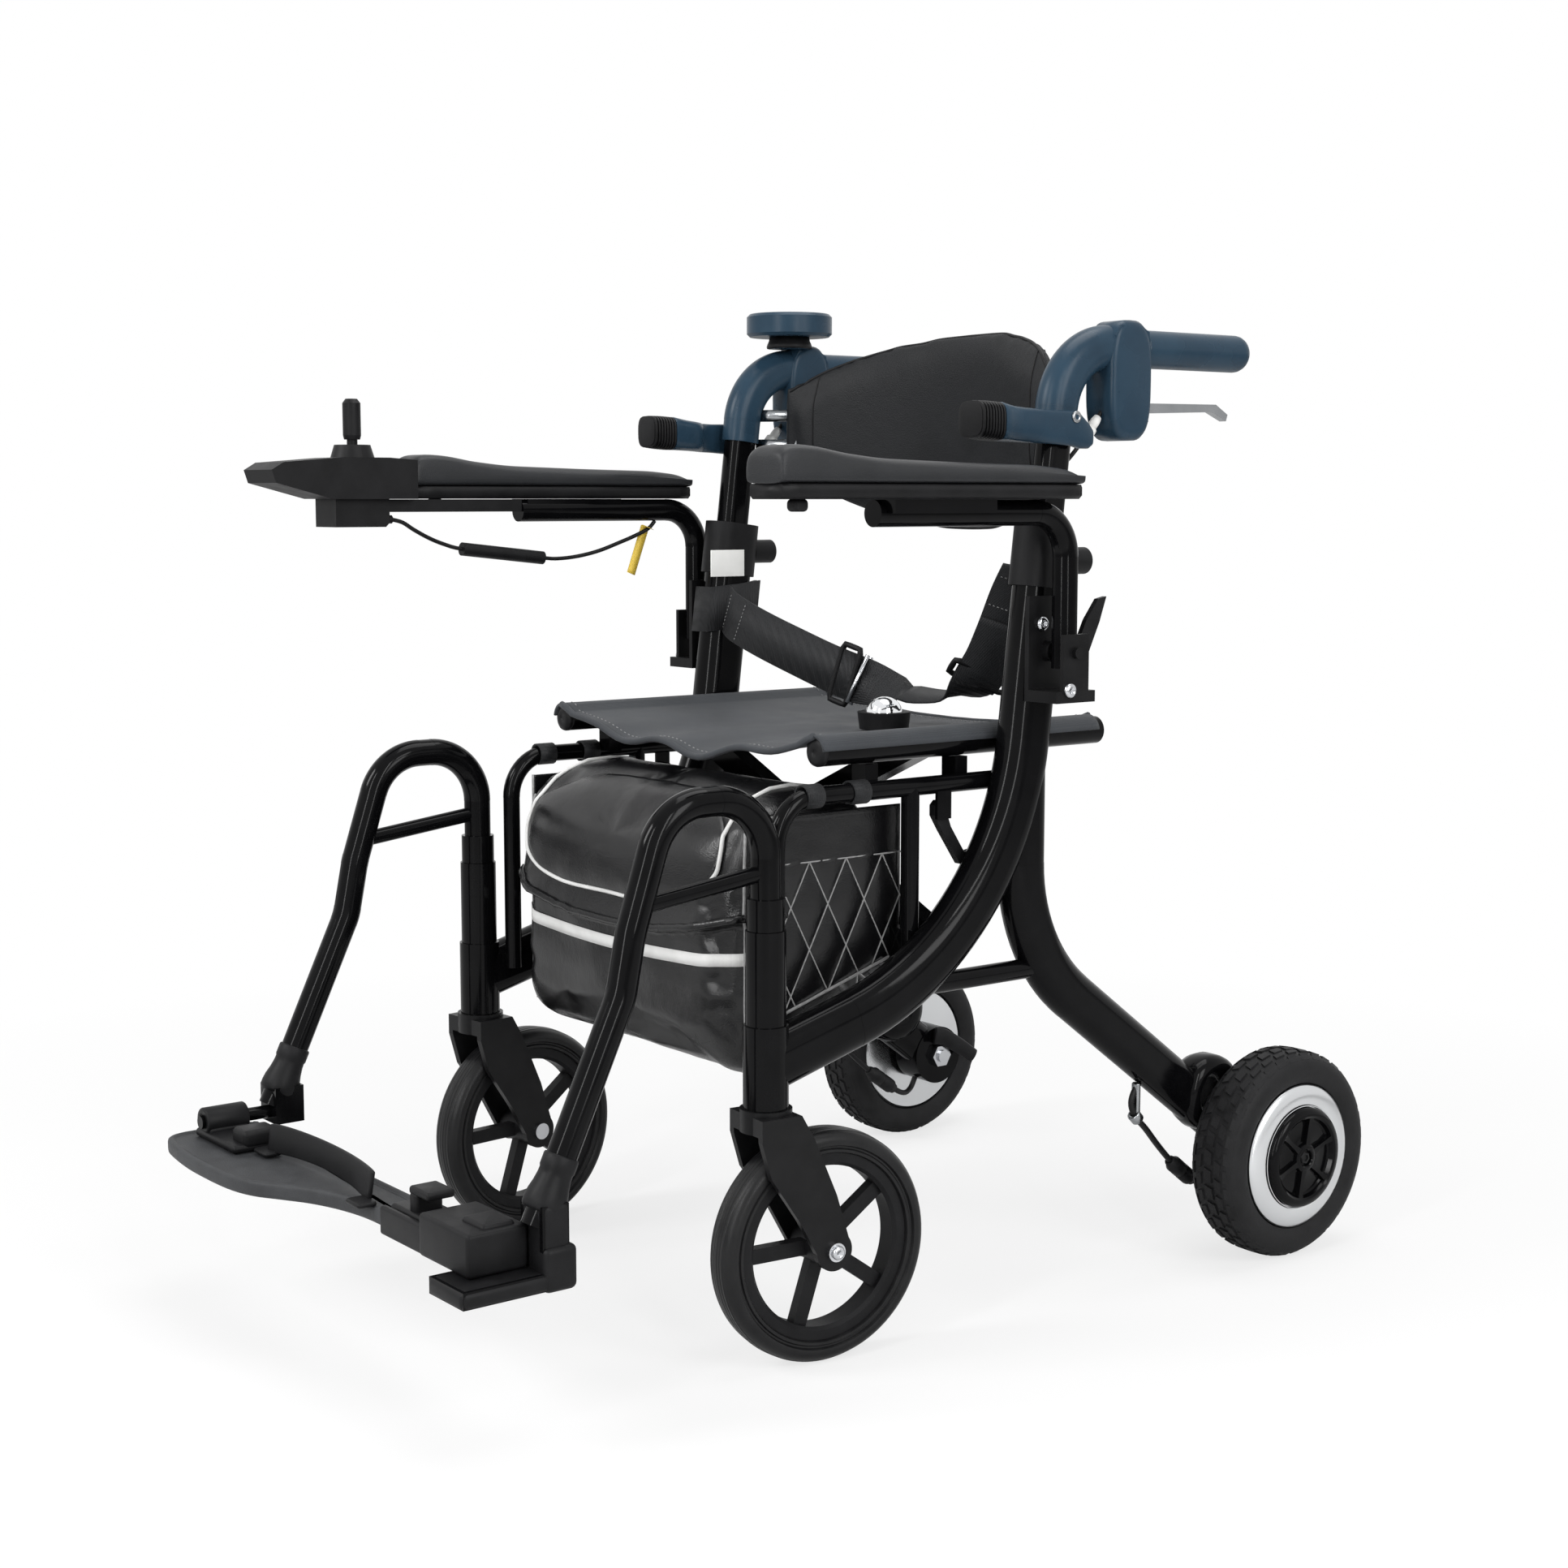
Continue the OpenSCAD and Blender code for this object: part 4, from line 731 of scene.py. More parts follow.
bag_levels = [222, 224, 228, 236, 246, 262] + list(range(280, 440, 20)) + [445, 454, 462, 469, 474]
bag = make_piece("bag_shell", loft_faces([bag_ring(z) for z in bag_levels]), bag_skin, "right_frame")
inflated(bag, pressure=4, cap=0.006, calm=2)
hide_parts("storage_bag")
print("bag shell of", len(bag.data.polygons), "faces")

# %% [markdown]
# ## Bag lip
#
# The upper half of the bag's front overhangs the lower pocket in a soft lip, and the skin is never quite
# even. Each point moves along its normal: noise gives the unevenness, and a fall-off above the lip's line
# gives the overhang.


# %% Bag lip
def lip_height(x):
    return 347 + 26 * (abs(x) / 187) ** 2.2


bag_facing = [vertex.normal.copy() for vertex in bag.data.vertices]
for vertex, facing in zip(bag.data.vertices, bag_facing):
    x, y, z = vertex.co / MM
    lift = 0.9 * noise(Vector((x / 46, y / 46, z / 38)))
    above = z - lip_height(x)
    if facing.y < -0.25 and -4 < above:
        lift += 8.5 * min(1, (above + 4) / 4) * math.exp(-max(above, 0) / 26)
    if facing.y < -0.25 and above <= -4:
        lift += 1.2 * noise(Vector((x / 60, 4.0, z / 30)))
    vertex.co += facing * lift * MM
folds_with_frame(bag)
print("bag lip", round(lip_height(0)), "mm up in the middle")

# %% [markdown]
# ## Bag flap
#
# The flap is a panel puffed up by its lining. It is dropped on the swollen shell by casting rays at it, so
# that it lies on the surface whatever shape the cloth took. Rings of one outline, shrunk towards its
# middle, carry the puff.


# %% Bag flap
def ray_tree(mesh):
    """A mesh's faces, in millimetres, ready to have rays cast at them."""
    return BVHTree.FromPolygons([v.co / MM for v in mesh.vertices], [tuple(p.vertices) for p in mesh.polygons])


def dropped(tree, start, aim, lift):
    """Place on a surface seen from start, lifted off it by some millimetres."""
    place, facing, _, _ = tree.ray_cast(Vector(start), Vector(aim))
    if place is None:
        place, facing, _, _ = tree.find_nearest(Vector(start))
    return place + facing * lift


bag_tree = ray_tree(bag.data)


def on_front(x, z, lift):
    return dropped(bag_tree, (x, -500, z), (0, 1, 0), lift)


def bag_trim(name, shape, material):
    return folds_with_frame(make_piece(name, shape, material, "right_frame"))


flap_half = [(0, 373), (78, 374), (128, 386), (152, 408), (150, 438), (116, 458), (74, 467), (0, 468)]
flap_outline = smooth_route([(x, 0, z) for x, z in flap_half], 8)
flap_outline += [Vector((-p.x, 0, p.z)) for p in reversed(flap_outline[1:-1])]
flap_centre = Vector((0, 0, 422))
flap_rings = []
for share in (0.04, 0.2, 0.36, 0.52, 0.68, 0.8, 0.9, 0.96, 1.0):
    puff = 2.0 + 6.5 * (1 - share ** 4)
    flap_rings.append([])
    for p in flap_outline:
        spot = flap_centre + (p - flap_centre) * share
        wave = 1.6 * share * noise(Vector((spot.x / 34, 9.0, spot.z / 26)))
        flap_rings[-1].append(on_front(spot.x, spot.z, puff + wave))
flap_rings.append([on_front(p.x, p.z, -1.5) for p in flap_outline])
bag_trim("bag_flap", loft_faces(flap_rings), bag_skin)
print("flap of", len(flap_rings), "rings")

# %% [markdown]
# ## Piping and tape
#
# Silver piping runs round the flap and back over the top, a rolled hem follows the lip, and a reflective
# tape crosses the lower pocket so that the chair shows at dusk. The piping and hem are tubes and the tape is
# a thin ribbon, all on places found by rays.


# %% Piping and tape
def ribbon(path, wide, thick):
    """A flat band: wide and thick are half its width and thickness, as one vector or one for each point."""
    wide, thick = ([way] * len(path) if isinstance(way, Vector) else way for way in (wide, thick))
    return loft_faces([[p + w + t, p - w + t, p - w - t, p + w - t] for p, w, t in zip(path, wide, thick)])


def piping_half(sign):
    """From the middle of the flap's lower edge, up its side and back over the top."""
    front = [on_front(sign * p.x, p.z, 2.6) for p in smooth_route([(x, 0, z) for x, z in flap_half[:5]], 8)]
    over = ((146, -138), (144, -126), (143, -104), (142, -80), (142, -52))
    return front + [dropped(bag_tree, (sign * x, y, 800), (0, 0, -1), 1.4) for x, y in over]


piping = tube(list(reversed(piping_half(-1)[1:])) + piping_half(1), 1.9)
bag_trim("bag_flap_piping", piping, reflective_tape)

lip_path = [on_front(x, lip_height(x) + 1.5, 1.5) for x in range(-176, 177, 8)]
bag_trim("bag_lip_roll", tube(lip_path, 3.6), bag_skin)

tape_x = list(range(-178, 179, 7))
tape_path = [on_front(x, 327 + 9 * (x / 185) ** 2, 0.8) for x in tape_x]
tape = ribbon(tape_path, Vector((0, 0, 5.5)), Vector((0, -0.5, 0)))
bag_trim("bag_tape", tape, reflective_tape)

edges = [[dropped(bag_tree, (sign * 500, -480, z), (-sign, 1, 0), 0.8) for z in range(262, 450, 9)]
         for sign in (-1, 1)]
bag_trim("bag_edge_piping", joined([tube(edge, 1.4) for edge in edges]), quilt_thread)
print("tape of", len(tape_x), "places")

# %% [markdown]
# ## Quilted side panels
#
# The bag's sides are quilted in diamonds: wadding swells between crossing lines of stitches. Two sines,
# crossed, give the pillows, and thin pale tubes in the valleys are the thread.

# %% Quilted side panels
QUILT = {"front": -137, "rear": 4, "top": 416, "low": 284, "x": 189.6, "wide": 40, "tall": 76, "edge": 458}
PANEL_LONG, PANEL_TALL = 70, 90  # faces along and up a panel


def panel_bottom(y):
    return QUILT["low"] + 44 * (y - QUILT["front"]) / (QUILT["rear"] - QUILT["front"])


def panel_relief(y, z):
    """How far the quilting stands out between its stitched lines."""
    if z > QUILT["top"]:
        return 1.6 + 0.5 * noise(Vector((y / 24, 1.0, z / 18)))
    u, v = (y - QUILT["front"]) / QUILT["wide"], (z - QUILT["top"]) / QUILT["tall"]
    return 2.6 * math.sqrt(abs(math.sin(math.pi * (u + v)) * math.sin(math.pi * (u - v))))


def side_panel(sign):
    rows = []
    for j in range(PANEL_LONG + 1):
        y = part_way(QUILT["front"], QUILT["rear"], j / PANEL_LONG)
        row = []
        for k in range(PANEL_TALL + 1):
            z = part_way(panel_bottom(y), QUILT["edge"], k / PANEL_TALL)
            brim = min(1, j / 3, (PANEL_LONG - j) / 3, k / 3, (PANEL_TALL - k) / 3)
            row.append(Vector((sign * (QUILT["x"] + panel_relief(y, z) * brim), y, z)))
        back = [Vector((sign * (QUILT["x"] - 1.5), p.y, p.z)) for p in reversed(row)]
        rows.append(row + back)
    return loft_faces(rows)


def panel_place(sign, y, z, lift):
    return Vector((sign * (QUILT["x"] + lift), y, z))


def quilt_lines(sign):
    lines = []
    for lean in (-1, 1):
        for start in range(-6, 8):
            path = []
            for k in range(61):
                z = part_way(QUILT["low"], QUILT["top"], k / 60)
                y = QUILT["front"] + QUILT["wide"] * (start + lean * (z - QUILT["top"]) / QUILT["tall"])
                if QUILT["front"] < y < QUILT["rear"] and z >= panel_bottom(y):
                    path.append(panel_place(sign, y, z, 0.5))
            if len(path) > 2:
                lines.append(tube(path, 0.7, 5))
    along = [part_way(QUILT["front"], QUILT["rear"], k / 20) for k in range(21)]
    lines.append(tube([panel_place(sign, y, panel_bottom(y), 0.3) for y in along], 1.5, 6))
    lines.append(tube([panel_place(sign, y, QUILT["top"], 1.2) for y in along], 0.8, 6))
    up = [part_way(QUILT["low"], QUILT["edge"], k / 20) for k in range(21)]
    lines.append(tube([panel_place(sign, QUILT["front"], z, 0.3) for z in up], 1.5, 6))
    return joined(lines)


for side, sign in SIDES.items():
    bag_trim(side + "_bag_side_panel", side_panel(sign), bag_skin)
    bag_trim(side + "_bag_quilting", quilt_lines(sign), quilt_thread)
print("quilted panels", QUILT["rear"] - QUILT["front"], "mm long")

# %% [markdown]
# ## Bag loops
#
# Short webbing loops hang the bag on the two lower rails. They are bands bent round the tube, and each
# stays with its own side frame.

# %% Bag loops
RAIL = {"x": 210, "z": 475, "radius": 8}


def rail_loop(sign, y):
    path = []
    for k in range(17):
        angle = math.radians(-75 + 330 * k / 16)
        path.append(Vector((sign * (RAIL["x"] + (RAIL["radius"] + 1.6) * -math.cos(angle)), y,
                            RAIL["z"] + (RAIL["radius"] + 1.6) * math.sin(angle))))
    middle = Vector((sign * RAIL["x"], y, RAIL["z"]))
    return ribbon(path, Vector((0, 9, 0)), [(p - middle).normalized() * 0.9 for p in path])


for side, sign in SIDES.items():
    loops = joined([rail_loop(sign, y) for y in (-112, -62)])
    make_piece(side + "_bag_loops", loops, belt_webbing, side + "_frame")
print("bag hung on loops")

# %% [markdown]
# ## Seat sling
#
# The seat is one sheet of strong nylon, stitched round two tubes and sagging between them. A cloth
# simulation would hang it too, but the sag and the waves of its hems are few enough to write as a
# height over the seat, which also keeps the sheet the size it was cut to.

# %% Seat sling
SEAT = {"half": 198, "tube": 12.5, "z": 510, "front": -99, "rear": 223, "sag": 13, "thick": 2.4,
        "span": 185.5, "lift": 7.9}
SLING_ROWS = 44


def sling_place(across, t):
    """Place on the sling: across runs from -1 to 1 between the tubes, and past them round the tubes."""
    y = part_way(SEAT["front"], SEAT["rear"], t)
    radius = SEAT["tube"] + SEAT["thick"]
    if abs(across) > 1:
        sign = math.copysign(1, across)
        turn = (abs(across) - 1) * math.pi
        return Vector((sign * (SEAT["half"] + radius * math.sin(turn)), y,
                       SEAT["z"] + radius * math.cos(turn)))
    x = SEAT["half"] * across
    off = SEAT["half"] - abs(x)
    if abs(x) > SEAT["span"]:
        return Vector((x, y, SEAT["z"] + math.sqrt(radius ** 2 - off ** 2)))
    low = 1 - (x / SEAT["span"]) ** 2
    hem = (1 - t) ** 5 * 7 * low * (1 + 0.8 * math.sin(3 * math.pi * x / SEAT["span"]))
    ruck = 0.9 * noise(Vector((across * 7, t * 3, 2.0))) * low
    return Vector((x, y, SEAT["z"] + SEAT["lift"] - (SEAT["sag"] - 2 * t) * low - hem + ruck))


across_steps = [-1.46, -1.4, -1.32, -1.24, -1.16, -1.08] + [-1 + k / 28 for k in range(57)]
across_steps += [1.08, 1.16, 1.24, 1.32, 1.4, 1.46]
sling_rows = []
for k in range(SLING_ROWS + 1):
    top = [sling_place(a, k / SLING_ROWS) for a in across_steps]
    under = [p - Vector((-way.z, 0, way.x)) * SEAT["thick"] for p, way in zip(top, tangents(top))]
    sling_rows.append(top + under[::-1])
sling = make_piece("seat_cloth_sheet", loft_faces(sling_rows), sling_cloth, "seat_cloth")
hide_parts("seat_sling")
print("sling of", len(sling.data.polygons), "faces")

# %% [markdown]
# ## Sling hems and stitches
#
# The sling's front and rear edges are rolled into hems and sewn with a pale thread. The hems are tubes along
# the edge and each stitch is a short tube. Then the size the sheet was cut to is measured.

# %% Sling hems and stitches
hem_parts = [tube([sling_place(-1 + k / 20, t) - Vector((0, 0, 1.2)) for k in range(41)], 3.2)
             for t in (0.0, 1.0)]
hems = make_piece("seat_hems", joined(hem_parts), sling_cloth, "seat_cloth")
stitch_parts = []
for t in (0.035, 0.965):
    row = [sling_place(-1 + k / 90, t) + Vector((0, 0, 0.25)) for k in range(181)]
    stitch_parts += [tube(row[k:k + 2], 0.45, 5) for k in range(0, 180, 3)]
stitches = make_piece("seat_stitches", joined(stitch_parts), quilt_thread, "seat_cloth")

sling_width = route_length([sling_place(a, 0.5) for a in across_steps])
sling_length = route_length([sling_place(0, k / SLING_ROWS) for k in range(SLING_ROWS + 1)])
for cloth in (sling, hems, stitches):
    folds_with_frame(cloth)
print("sling cut", round(sling_width, 3), "by", round(sling_length, 3), "m")

# %% [markdown]
# ## Backrest
#
# The backrest is a foam strap in a stitched cover: deep in the middle, narrow where it meets the
# handles. A loft of squared ovals along it gives the form, and cloth pressure swells it.


# %% Backrest
BACK = {"half": 200, "tip": 0.975, "end_y": 168.5, "bow": 64, "mid_z": 785, "end_z": 793,
        "thick": 21, "lean": 0.08}


def squarish(value, power):
    return math.copysign(abs(value) ** power, value)


def squared_oval(count, power_x, power_y, shift=0.0):
    """Points round a circle, pushed outwards by powers below one until it is nearly square."""
    turns = [(k + shift) * math.tau / count for k in range(count)]
    return [(squarish(math.cos(turn), power_x), squarish(math.sin(turn), power_y)) for turn in turns]


def back_centre(u):
    return Vector((BACK["half"] * u, BACK["end_y"] + BACK["bow"] * (1 - u * u),
                   part_way(BACK["end_z"], BACK["mid_z"], max(1 - u * u, 0))))


BACK_HALF = [(0, 98), (0.2, 97.5), (0.4, 94), (0.63, 83), (0.8, 71), (0.93, 54), (1.0, 46)]


def back_tall(u):
    """Half the backrest's height, a little more on the left."""
    return between(BACK_HALF, abs(u)) * (1 + BACK["lean"] * u)


def back_ring(u):
    centre, tall = back_centre(u), back_tall(u) - 1
    thick = BACK["thick"] / 2 * (0.45 + 0.55 * max(1 - u * u, 0) ** 0.5)
    return [centre + Vector((0, thick * c, tall * s)) for c, s in squared_oval(32, 0.7, 0.7, 0.5)]


back_steps = [-BACK["tip"]] + [-1 + k / 24 for k in range(49)] + [BACK["tip"]]
backrest = make_piece("backrest_cushion", loft_faces([back_ring(u) for u in back_steps]), back_skin,
                      "right_handle")
inflated(backrest, pressure=4, cap=0.003, calm=14)
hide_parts("backrest_pad")
print("backrest of", len(backrest.data.polygons), "faces")

# %% [markdown]
# ## Backrest seams and clips
#
# The cover is closed by a seam along its edge and one near each end. They are thin tubes dropped on the
# swollen surface, and the edge seam is evened out, since thread pulls straight. Steel clips tie the ends
# to the handles.

# %% Backrest seams and clips
back_tree = ray_tree(backrest.data)
edge_line = []
for sign, steps in ((1, range(-45, 46)), (-1, range(45, -46, -1))):
    for k in steps:
        centre = back_centre(k / 48)
        edge_line.append(dropped(back_tree, centre + Vector((0, 0, sign * 200)), (0, 0, -sign), 0.2))
for _ in range(6):
    before, after = edge_line[-1:] + edge_line, edge_line[1:] + edge_line[:1]
    edge_line = [(a + 2 * b + c) / 4 for a, b, c in zip(before, edge_line, after)]
seam_parts = [tube(edge_line, 1.5, closed=True)]
for u in (-0.8, 0.8):
    centre = back_centre(u)
    for face in (-1, 1):
        starts = [centre + Vector((0, face * 120, (back_tall(u) - 4) * k / 12)) for k in range(-12, 13)]
        seam_parts.append(tube([dropped(back_tree, start, (0, -face, 0), 0.1) for start in starts], 0.9, 6))
back_seams = make_piece("backrest_seams", joined(seam_parts), moulded_black, "right_handle")
for soft in (backrest, back_seams):
    folds_with_frame(soft)
CLIP_ROUTE = [(180, 176), (192, 174.6), (204, 171), (213, 165), (224, 157)]
for side, sign in SIDES.items():
    clips = []
    for z in (776, 806):
        strap = [Vector((sign * x, y, z)) for x, y in CLIP_ROUTE]
        clips.append(ribbon(strap, Vector((0, 0, 6)), Vector((0, 1.2, 0))))
    make_piece(side + "_backrest_clips", joined(clips), lever_steel, side + "_handle")
print("backrest seams:", len(seam_parts))

# %% [markdown]
# ## Arm pads
#
# Each armrest is a moulded foam pad with a raised block at its front and a dished top, set in a black
# tray. The pad is lofted along its length, and subdivision rounds it; the skin is one moulding, so
# there is nothing for cloth to swell.

# %% Arm pads
PAD = {"x": 287, "half": 24.5, "front": -219, "rear": 106, "low": 721.3, "seam": 733}
PAD_TOP = [(0.0, 756), (0.02, 763), (0.06, 764.5), (0.13, 763), (0.2, 758.5), (0.33, 754), (0.6, 751.5),
           (0.85, 750), (0.95, 747), (1.0, 741)]


def moulding(name, shape, body, sharp=None):
    """A piece of black moulded plastic."""
    return make_piece(name, shape, moulded_black, body, sharp=sharp)


def mirrored(half):
    """The other side of half an outline."""
    return [(-x, z) for x, z in reversed(half)]


def pad_half(t):
    """Half the pad's width, with a slight waist."""
    return PAD["half"] * (1 - 0.08 * math.sin(math.pi * t))


def pad_ring(t):
    half = pad_half(t) * (0.85 if t < 0.005 or t > 0.995 else 1.0)
    top, low = between(PAD_TOP, t), PAD["seam"]
    y = part_way(PAD["front"], PAD["rear"], t)
    side = [(0.5, top), (0.8, top - 1.6), (0.96, top - 6), (1, low + 10), (1, low + 4), (0.9, low)]
    shape = mirrored(side) + [(0, top - 0.6)] + side
    return [Vector((PAD["x"] + half * x, y, z)) for x, z in shape]


def tray_ring(t):
    half = pad_half(t) - (4 if t < 0.01 or t > 0.99 else 0.5)
    y = part_way(PAD["front"] + 3, PAD["rear"] - 3, t)
    low, high = PAD["low"] + 0.2, PAD["seam"] + 0.5
    side = [(0.94, high), (1, high - 2.5), (1, low + 3), (0.82, low)]
    return [Vector((PAD["x"] + half * x, y, z)) for x, z in mirrored(side) + side]


pad_steps = [0, 0.006, 0.02, 0.05, 0.09, 0.14, 0.2] + [0.25 + 0.05 * k for k in range(13)]
pad_steps += [0.9, 0.95, 0.98, 0.994, 1]


def pad_loft(ring, sign):
    return loft_faces([[p * Vector((sign, 1, 1)) for p in ring(t)] for t in pad_steps])


for side, sign in SIDES.items():
    pad = make_piece(side + "_arm_cushion", pad_loft(pad_ring, sign), pad_skin, side + "_arm")
    rounding = pad.modifiers.new("rounding", "SUBSURF")
    rounding.levels = rounding.render_levels = 2
    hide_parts(side + "_arm_pad")
    peg = rounded_box((sign * PAD["x"], PAD["front"] + 34, PAD["low"] - 4.5), (14, 14, 10), 4)
    moulding(side + "_arm_peg", peg, side + "_arm")
    make_piece(side + "_arm_tray", pad_loft(tray_ring, sign), moulded_black, side + "_arm")
print("arm pads", PAD["rear"] - PAD["front"], "mm long")

# %% [markdown]
# ## Lap belt
#
# One broad webbing band runs from collar to collar and lies across the seat. Webbing hardly stretches
# and keeps its width, so it is a flat band swept along a smooth route, turning from on edge at the
# collars to flat on the seat. A sewn fold-back tail lies on it.

# %% Lap belt
BELT_ROUTE = [(-213, 109, 612), (-190, 103, 602), (-150, 105, 588), (-95, 111, 571), (-40, 118, 555),
              (10, 131, 542), (52, 155, 535), (84, 171, 540), (116, 169, 566), (146, 160, 598),
              (178, 147, 632), (210.6, 133, 660)]
BELT = {"width": 46, "thick": 2.2}
belt_path = smooth_route(BELT_ROUTE, 6)
belt_along = tangents(belt_path)
belt_across, belt_out = [], []
for at, along in zip(belt_path, belt_along):
    x = at.x
    lying = max(0, min(1, (x + 30) / 70)) * max(0, min(1, (110 - x) / 40))
    ends = Vector((0, 0.12, 1))
    if x >= 30:
        ends = Vector((0.6, 0.72, -0.36)).lerp(Vector((0, 0.85, -0.5)), max(0, x - 178) / 33)
    upright, flat = (axis - along * axis.dot(along) for axis in (ends, Vector((0, 1, 0.15))))
    edge = (upright.normalized() * (1 - lying) + flat.normalized() * lying).normalized()
    belt_across.append(edge)
    belt_out.append(edge.cross(along).normalized())


def belt_band(first, last, width, lift, thick):
    spots = range(first, last + 1)
    return ribbon([belt_path[i] + belt_out[i] * lift for i in spots],
                  [belt_across[i] * width / 2 for i in spots], [belt_out[i] * thick / 2 for i in spots])


def belt_piece(name, shape, material):
    return folds_with_frame(make_piece(name, shape, material, "right_frame"))


belt = belt_piece("belt_band", belt_band(0, len(belt_path) - 1, BELT["width"], 0, BELT["thick"]), belt_webbing)
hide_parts("lap_belt")
belt_piece("belt_tail", joined([belt_band(44, 56, BELT["width"] - 2, s * 3, 1.8) for s in (-1, 1)]), belt_webbing)
print("belt", round(route_length(belt_path), 3), "m")

# %% [markdown]
# ## Belt fittings
#
# The belt is sewn back on itself near its ends, wraps the right upright, and carries two wire sliders with a
# steel bar. A blank tab on the collar stands where a label would be. Wire loops are tubes round a rectangle
# set square to the belt, wherever the belt is.

# %% Belt fittings
stitch_rows = []
for i in (3, 8, 58, 63):
    row = [belt_path[i] + belt_across[i] * BELT["width"] * (k / 20 - 0.5) * 0.86 for k in range(21)]
    for face in (-1, 1):
        sewn = [at + belt_out[i] * face * 1.3 for at in row]
        stitch_rows += [tube(sewn[k:k + 2], 0.4, 5) for k in range(0, 20, 2)]
belt_piece("belt_stitches", joined(stitch_rows), quilt_thread)
collar_tab = rounded_box((-211, 110, 656), (1.6, 42, 27), 0.7)
make_piece("collar_blank_tab", collar_tab, white_nylon, "right_frame")
wrap = [Vector(at) for at in ((-213, 150, 615), (-212.4, 122, 612), (-213, 97, 610), (-219, 93.5, 609),
                              (-232, 93, 609), (-246, 93.5, 609))]
wrap_out = [Vector((1, 0, 0))] * 2 + [Vector((0.7, -0.7, 0))] + [Vector((0, -1, 0))] * 3
wrap_band = ribbon(wrap, Vector((0, 2.8, 22.8)), [way * 1.2 for way in wrap_out])
make_piece("belt_wrap", wrap_band, belt_webbing, "right_frame")


def belt_loop(i, half_along, wire):
    """A rectangular wire loop round the belt at one place."""
    half = BELT["width"] / 2 + 5
    corners = [belt_path[i] + belt_across[i] * a * half + belt_along[i] * b * half_along
               for a, b in ((-1, -1), (-1, 1), (1, 1), (1, -1))]
    path = []
    for k in range(4):
        path += [corners[k].lerp(corners[(k + 1) % 4], t) for t in (0.08, 0.3, 0.5, 0.7, 0.92)]
    return tube(path, wire, closed=True)


belt_piece("belt_slider", joined([belt_loop(25, 11, 3.0), belt_loop(46, 9, 3.0)]), moulded_black)
BAR = 27  # place of the steel bar along the belt
bars = [tube([belt_path[BAR] + belt_out[BAR] * 3.5 * s + belt_across[BAR] * k for k in (-25, 0, 25)], 2.2)
        for s in (-1, 1)]
belt_piece("belt_slider_bar", joined(bars), bright_steel)
print("belt fittings:", len(stitch_rows), "stitches and", len(bars), "bars")

# %% [markdown]
# ## Buckle dome
#
# The buckle's release is a chromed push button that mirrors the room. It is turned, on the place and
# level of the CAD button.

# %% Buckle dome
dome_low, dome_high = (Vector(corner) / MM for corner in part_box("buckle_button"))
dome_at = (dome_low + dome_high) / 2
dome = turned([(0.3, 0), (17, 0), (17.2, 3), (17, 8), (16.2, 11), (14.4, 14.5), (11, 18), (7, 20.2),
               (3, 21.2), (0.3, 21.4)], (dome_at.x, dome_at.y, dome_low.z), (0, 0, 1), 48)
button = make_piece("buckle_dome", dome, chrome, "buckle_button")
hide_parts("buckle_button")
print("buckle dome", round(dome_high.z - dome_low.z, 1), "mm high in the CAD")

# %% [markdown]
# ## Hub caps
#
# Each motor hub is closed by a dished black cap with star ribs round a centre nut, in a silver ring. Dish
# and ring are turned, and the ribs are short lofts from the nut to the rim.

# %% Hub caps
CAP_X = 308
CAP_RIBS = 6


def hub_cap_shape(sign):
    centre = rear_hub(sign, CAP_X)
    axis = Vector((sign, 0, 0))
    dish = [(0.5, 0.3), (47, 0.3), (48, 1.5), (48, 5), (46.5, 7.6), (43.5, 9.2), (40.5, 9.4), (38.5, 8.2),
            (36.8, 4.4), (35, 3.2), (16, 3.2), (14.4, 4), (13.4, 7.4), (12, 8.2), (9, 8.4), (8, 7.6), (7.4, 5),
            (0.5, 5)]
    parts = [turned(dish, centre, axis, 72)]
    for k in range(CAP_RIBS):
        turn = math.tau * k / CAP_RIBS + 0.35
        out = Vector((0, math.cos(turn), math.sin(turn)))
        across = axis.cross(out)
        rings = []
        for r, wide, high in ((12, 4.6, 8.0), (20, 3.6, 7.2), (30, 3.2, 6.9), (38.5, 4.4, 8.2)):
            base, top = centre + out * r + axis * 2.6, centre + out * r + axis * high
            rings.append([base - across * wide, top - across * (wide - 1.4), top + across * (wide - 1.4),
                          base + across * wide])
        parts.append(loft_faces(rings))
    return joined(parts)


for side, sign in SIDES.items():
    cap = make_piece(side + "_hub_star", hub_cap_shape(sign), gloss_black, side + "_rear_wheel",
                     sharp=32)
    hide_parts(side + "_hub_cap")
    nut = turned([(0.4, 4.6), (6.4, 4.6), (6.4, 6.4), (5.6, 7.2), (3.4, 7.4), (3, 6.2), (0.4, 6.2)],
                 rear_hub(sign, CAP_X), (sign, 0, 0), 6)
    make_piece(side + "_hub_nut", nut, satin_black, side + "_rear_wheel", smooth=False)
    trim = turned([(48.6, 23.4), (69.4, 23.4), (69.2, 24.8), (67.6, 26.6), (63.5, 28.6), (58, 29.8), (52.5, 30.2),
                   (49.6, 29.8), (48.6, 28.6)], rear_hub(sign), (sign, 0, 0), 96)
    make_piece(side + "_wheel_trim", trim, satin_silver, side + "_rear_wheel")
print("hub caps with", CAP_RIBS, "ribs")

# %% [markdown]
# ## Parking lock levers
#
# A blue lever beside each handle locks its wheel. It swells from a flat boss at its pin to a fat,
# ribbed black thumb end, with a scooped waist between. Rings along its length carry all of that.

# %% Parking lock levers
LOCK_PIN = Vector((0, 141.46, 792))
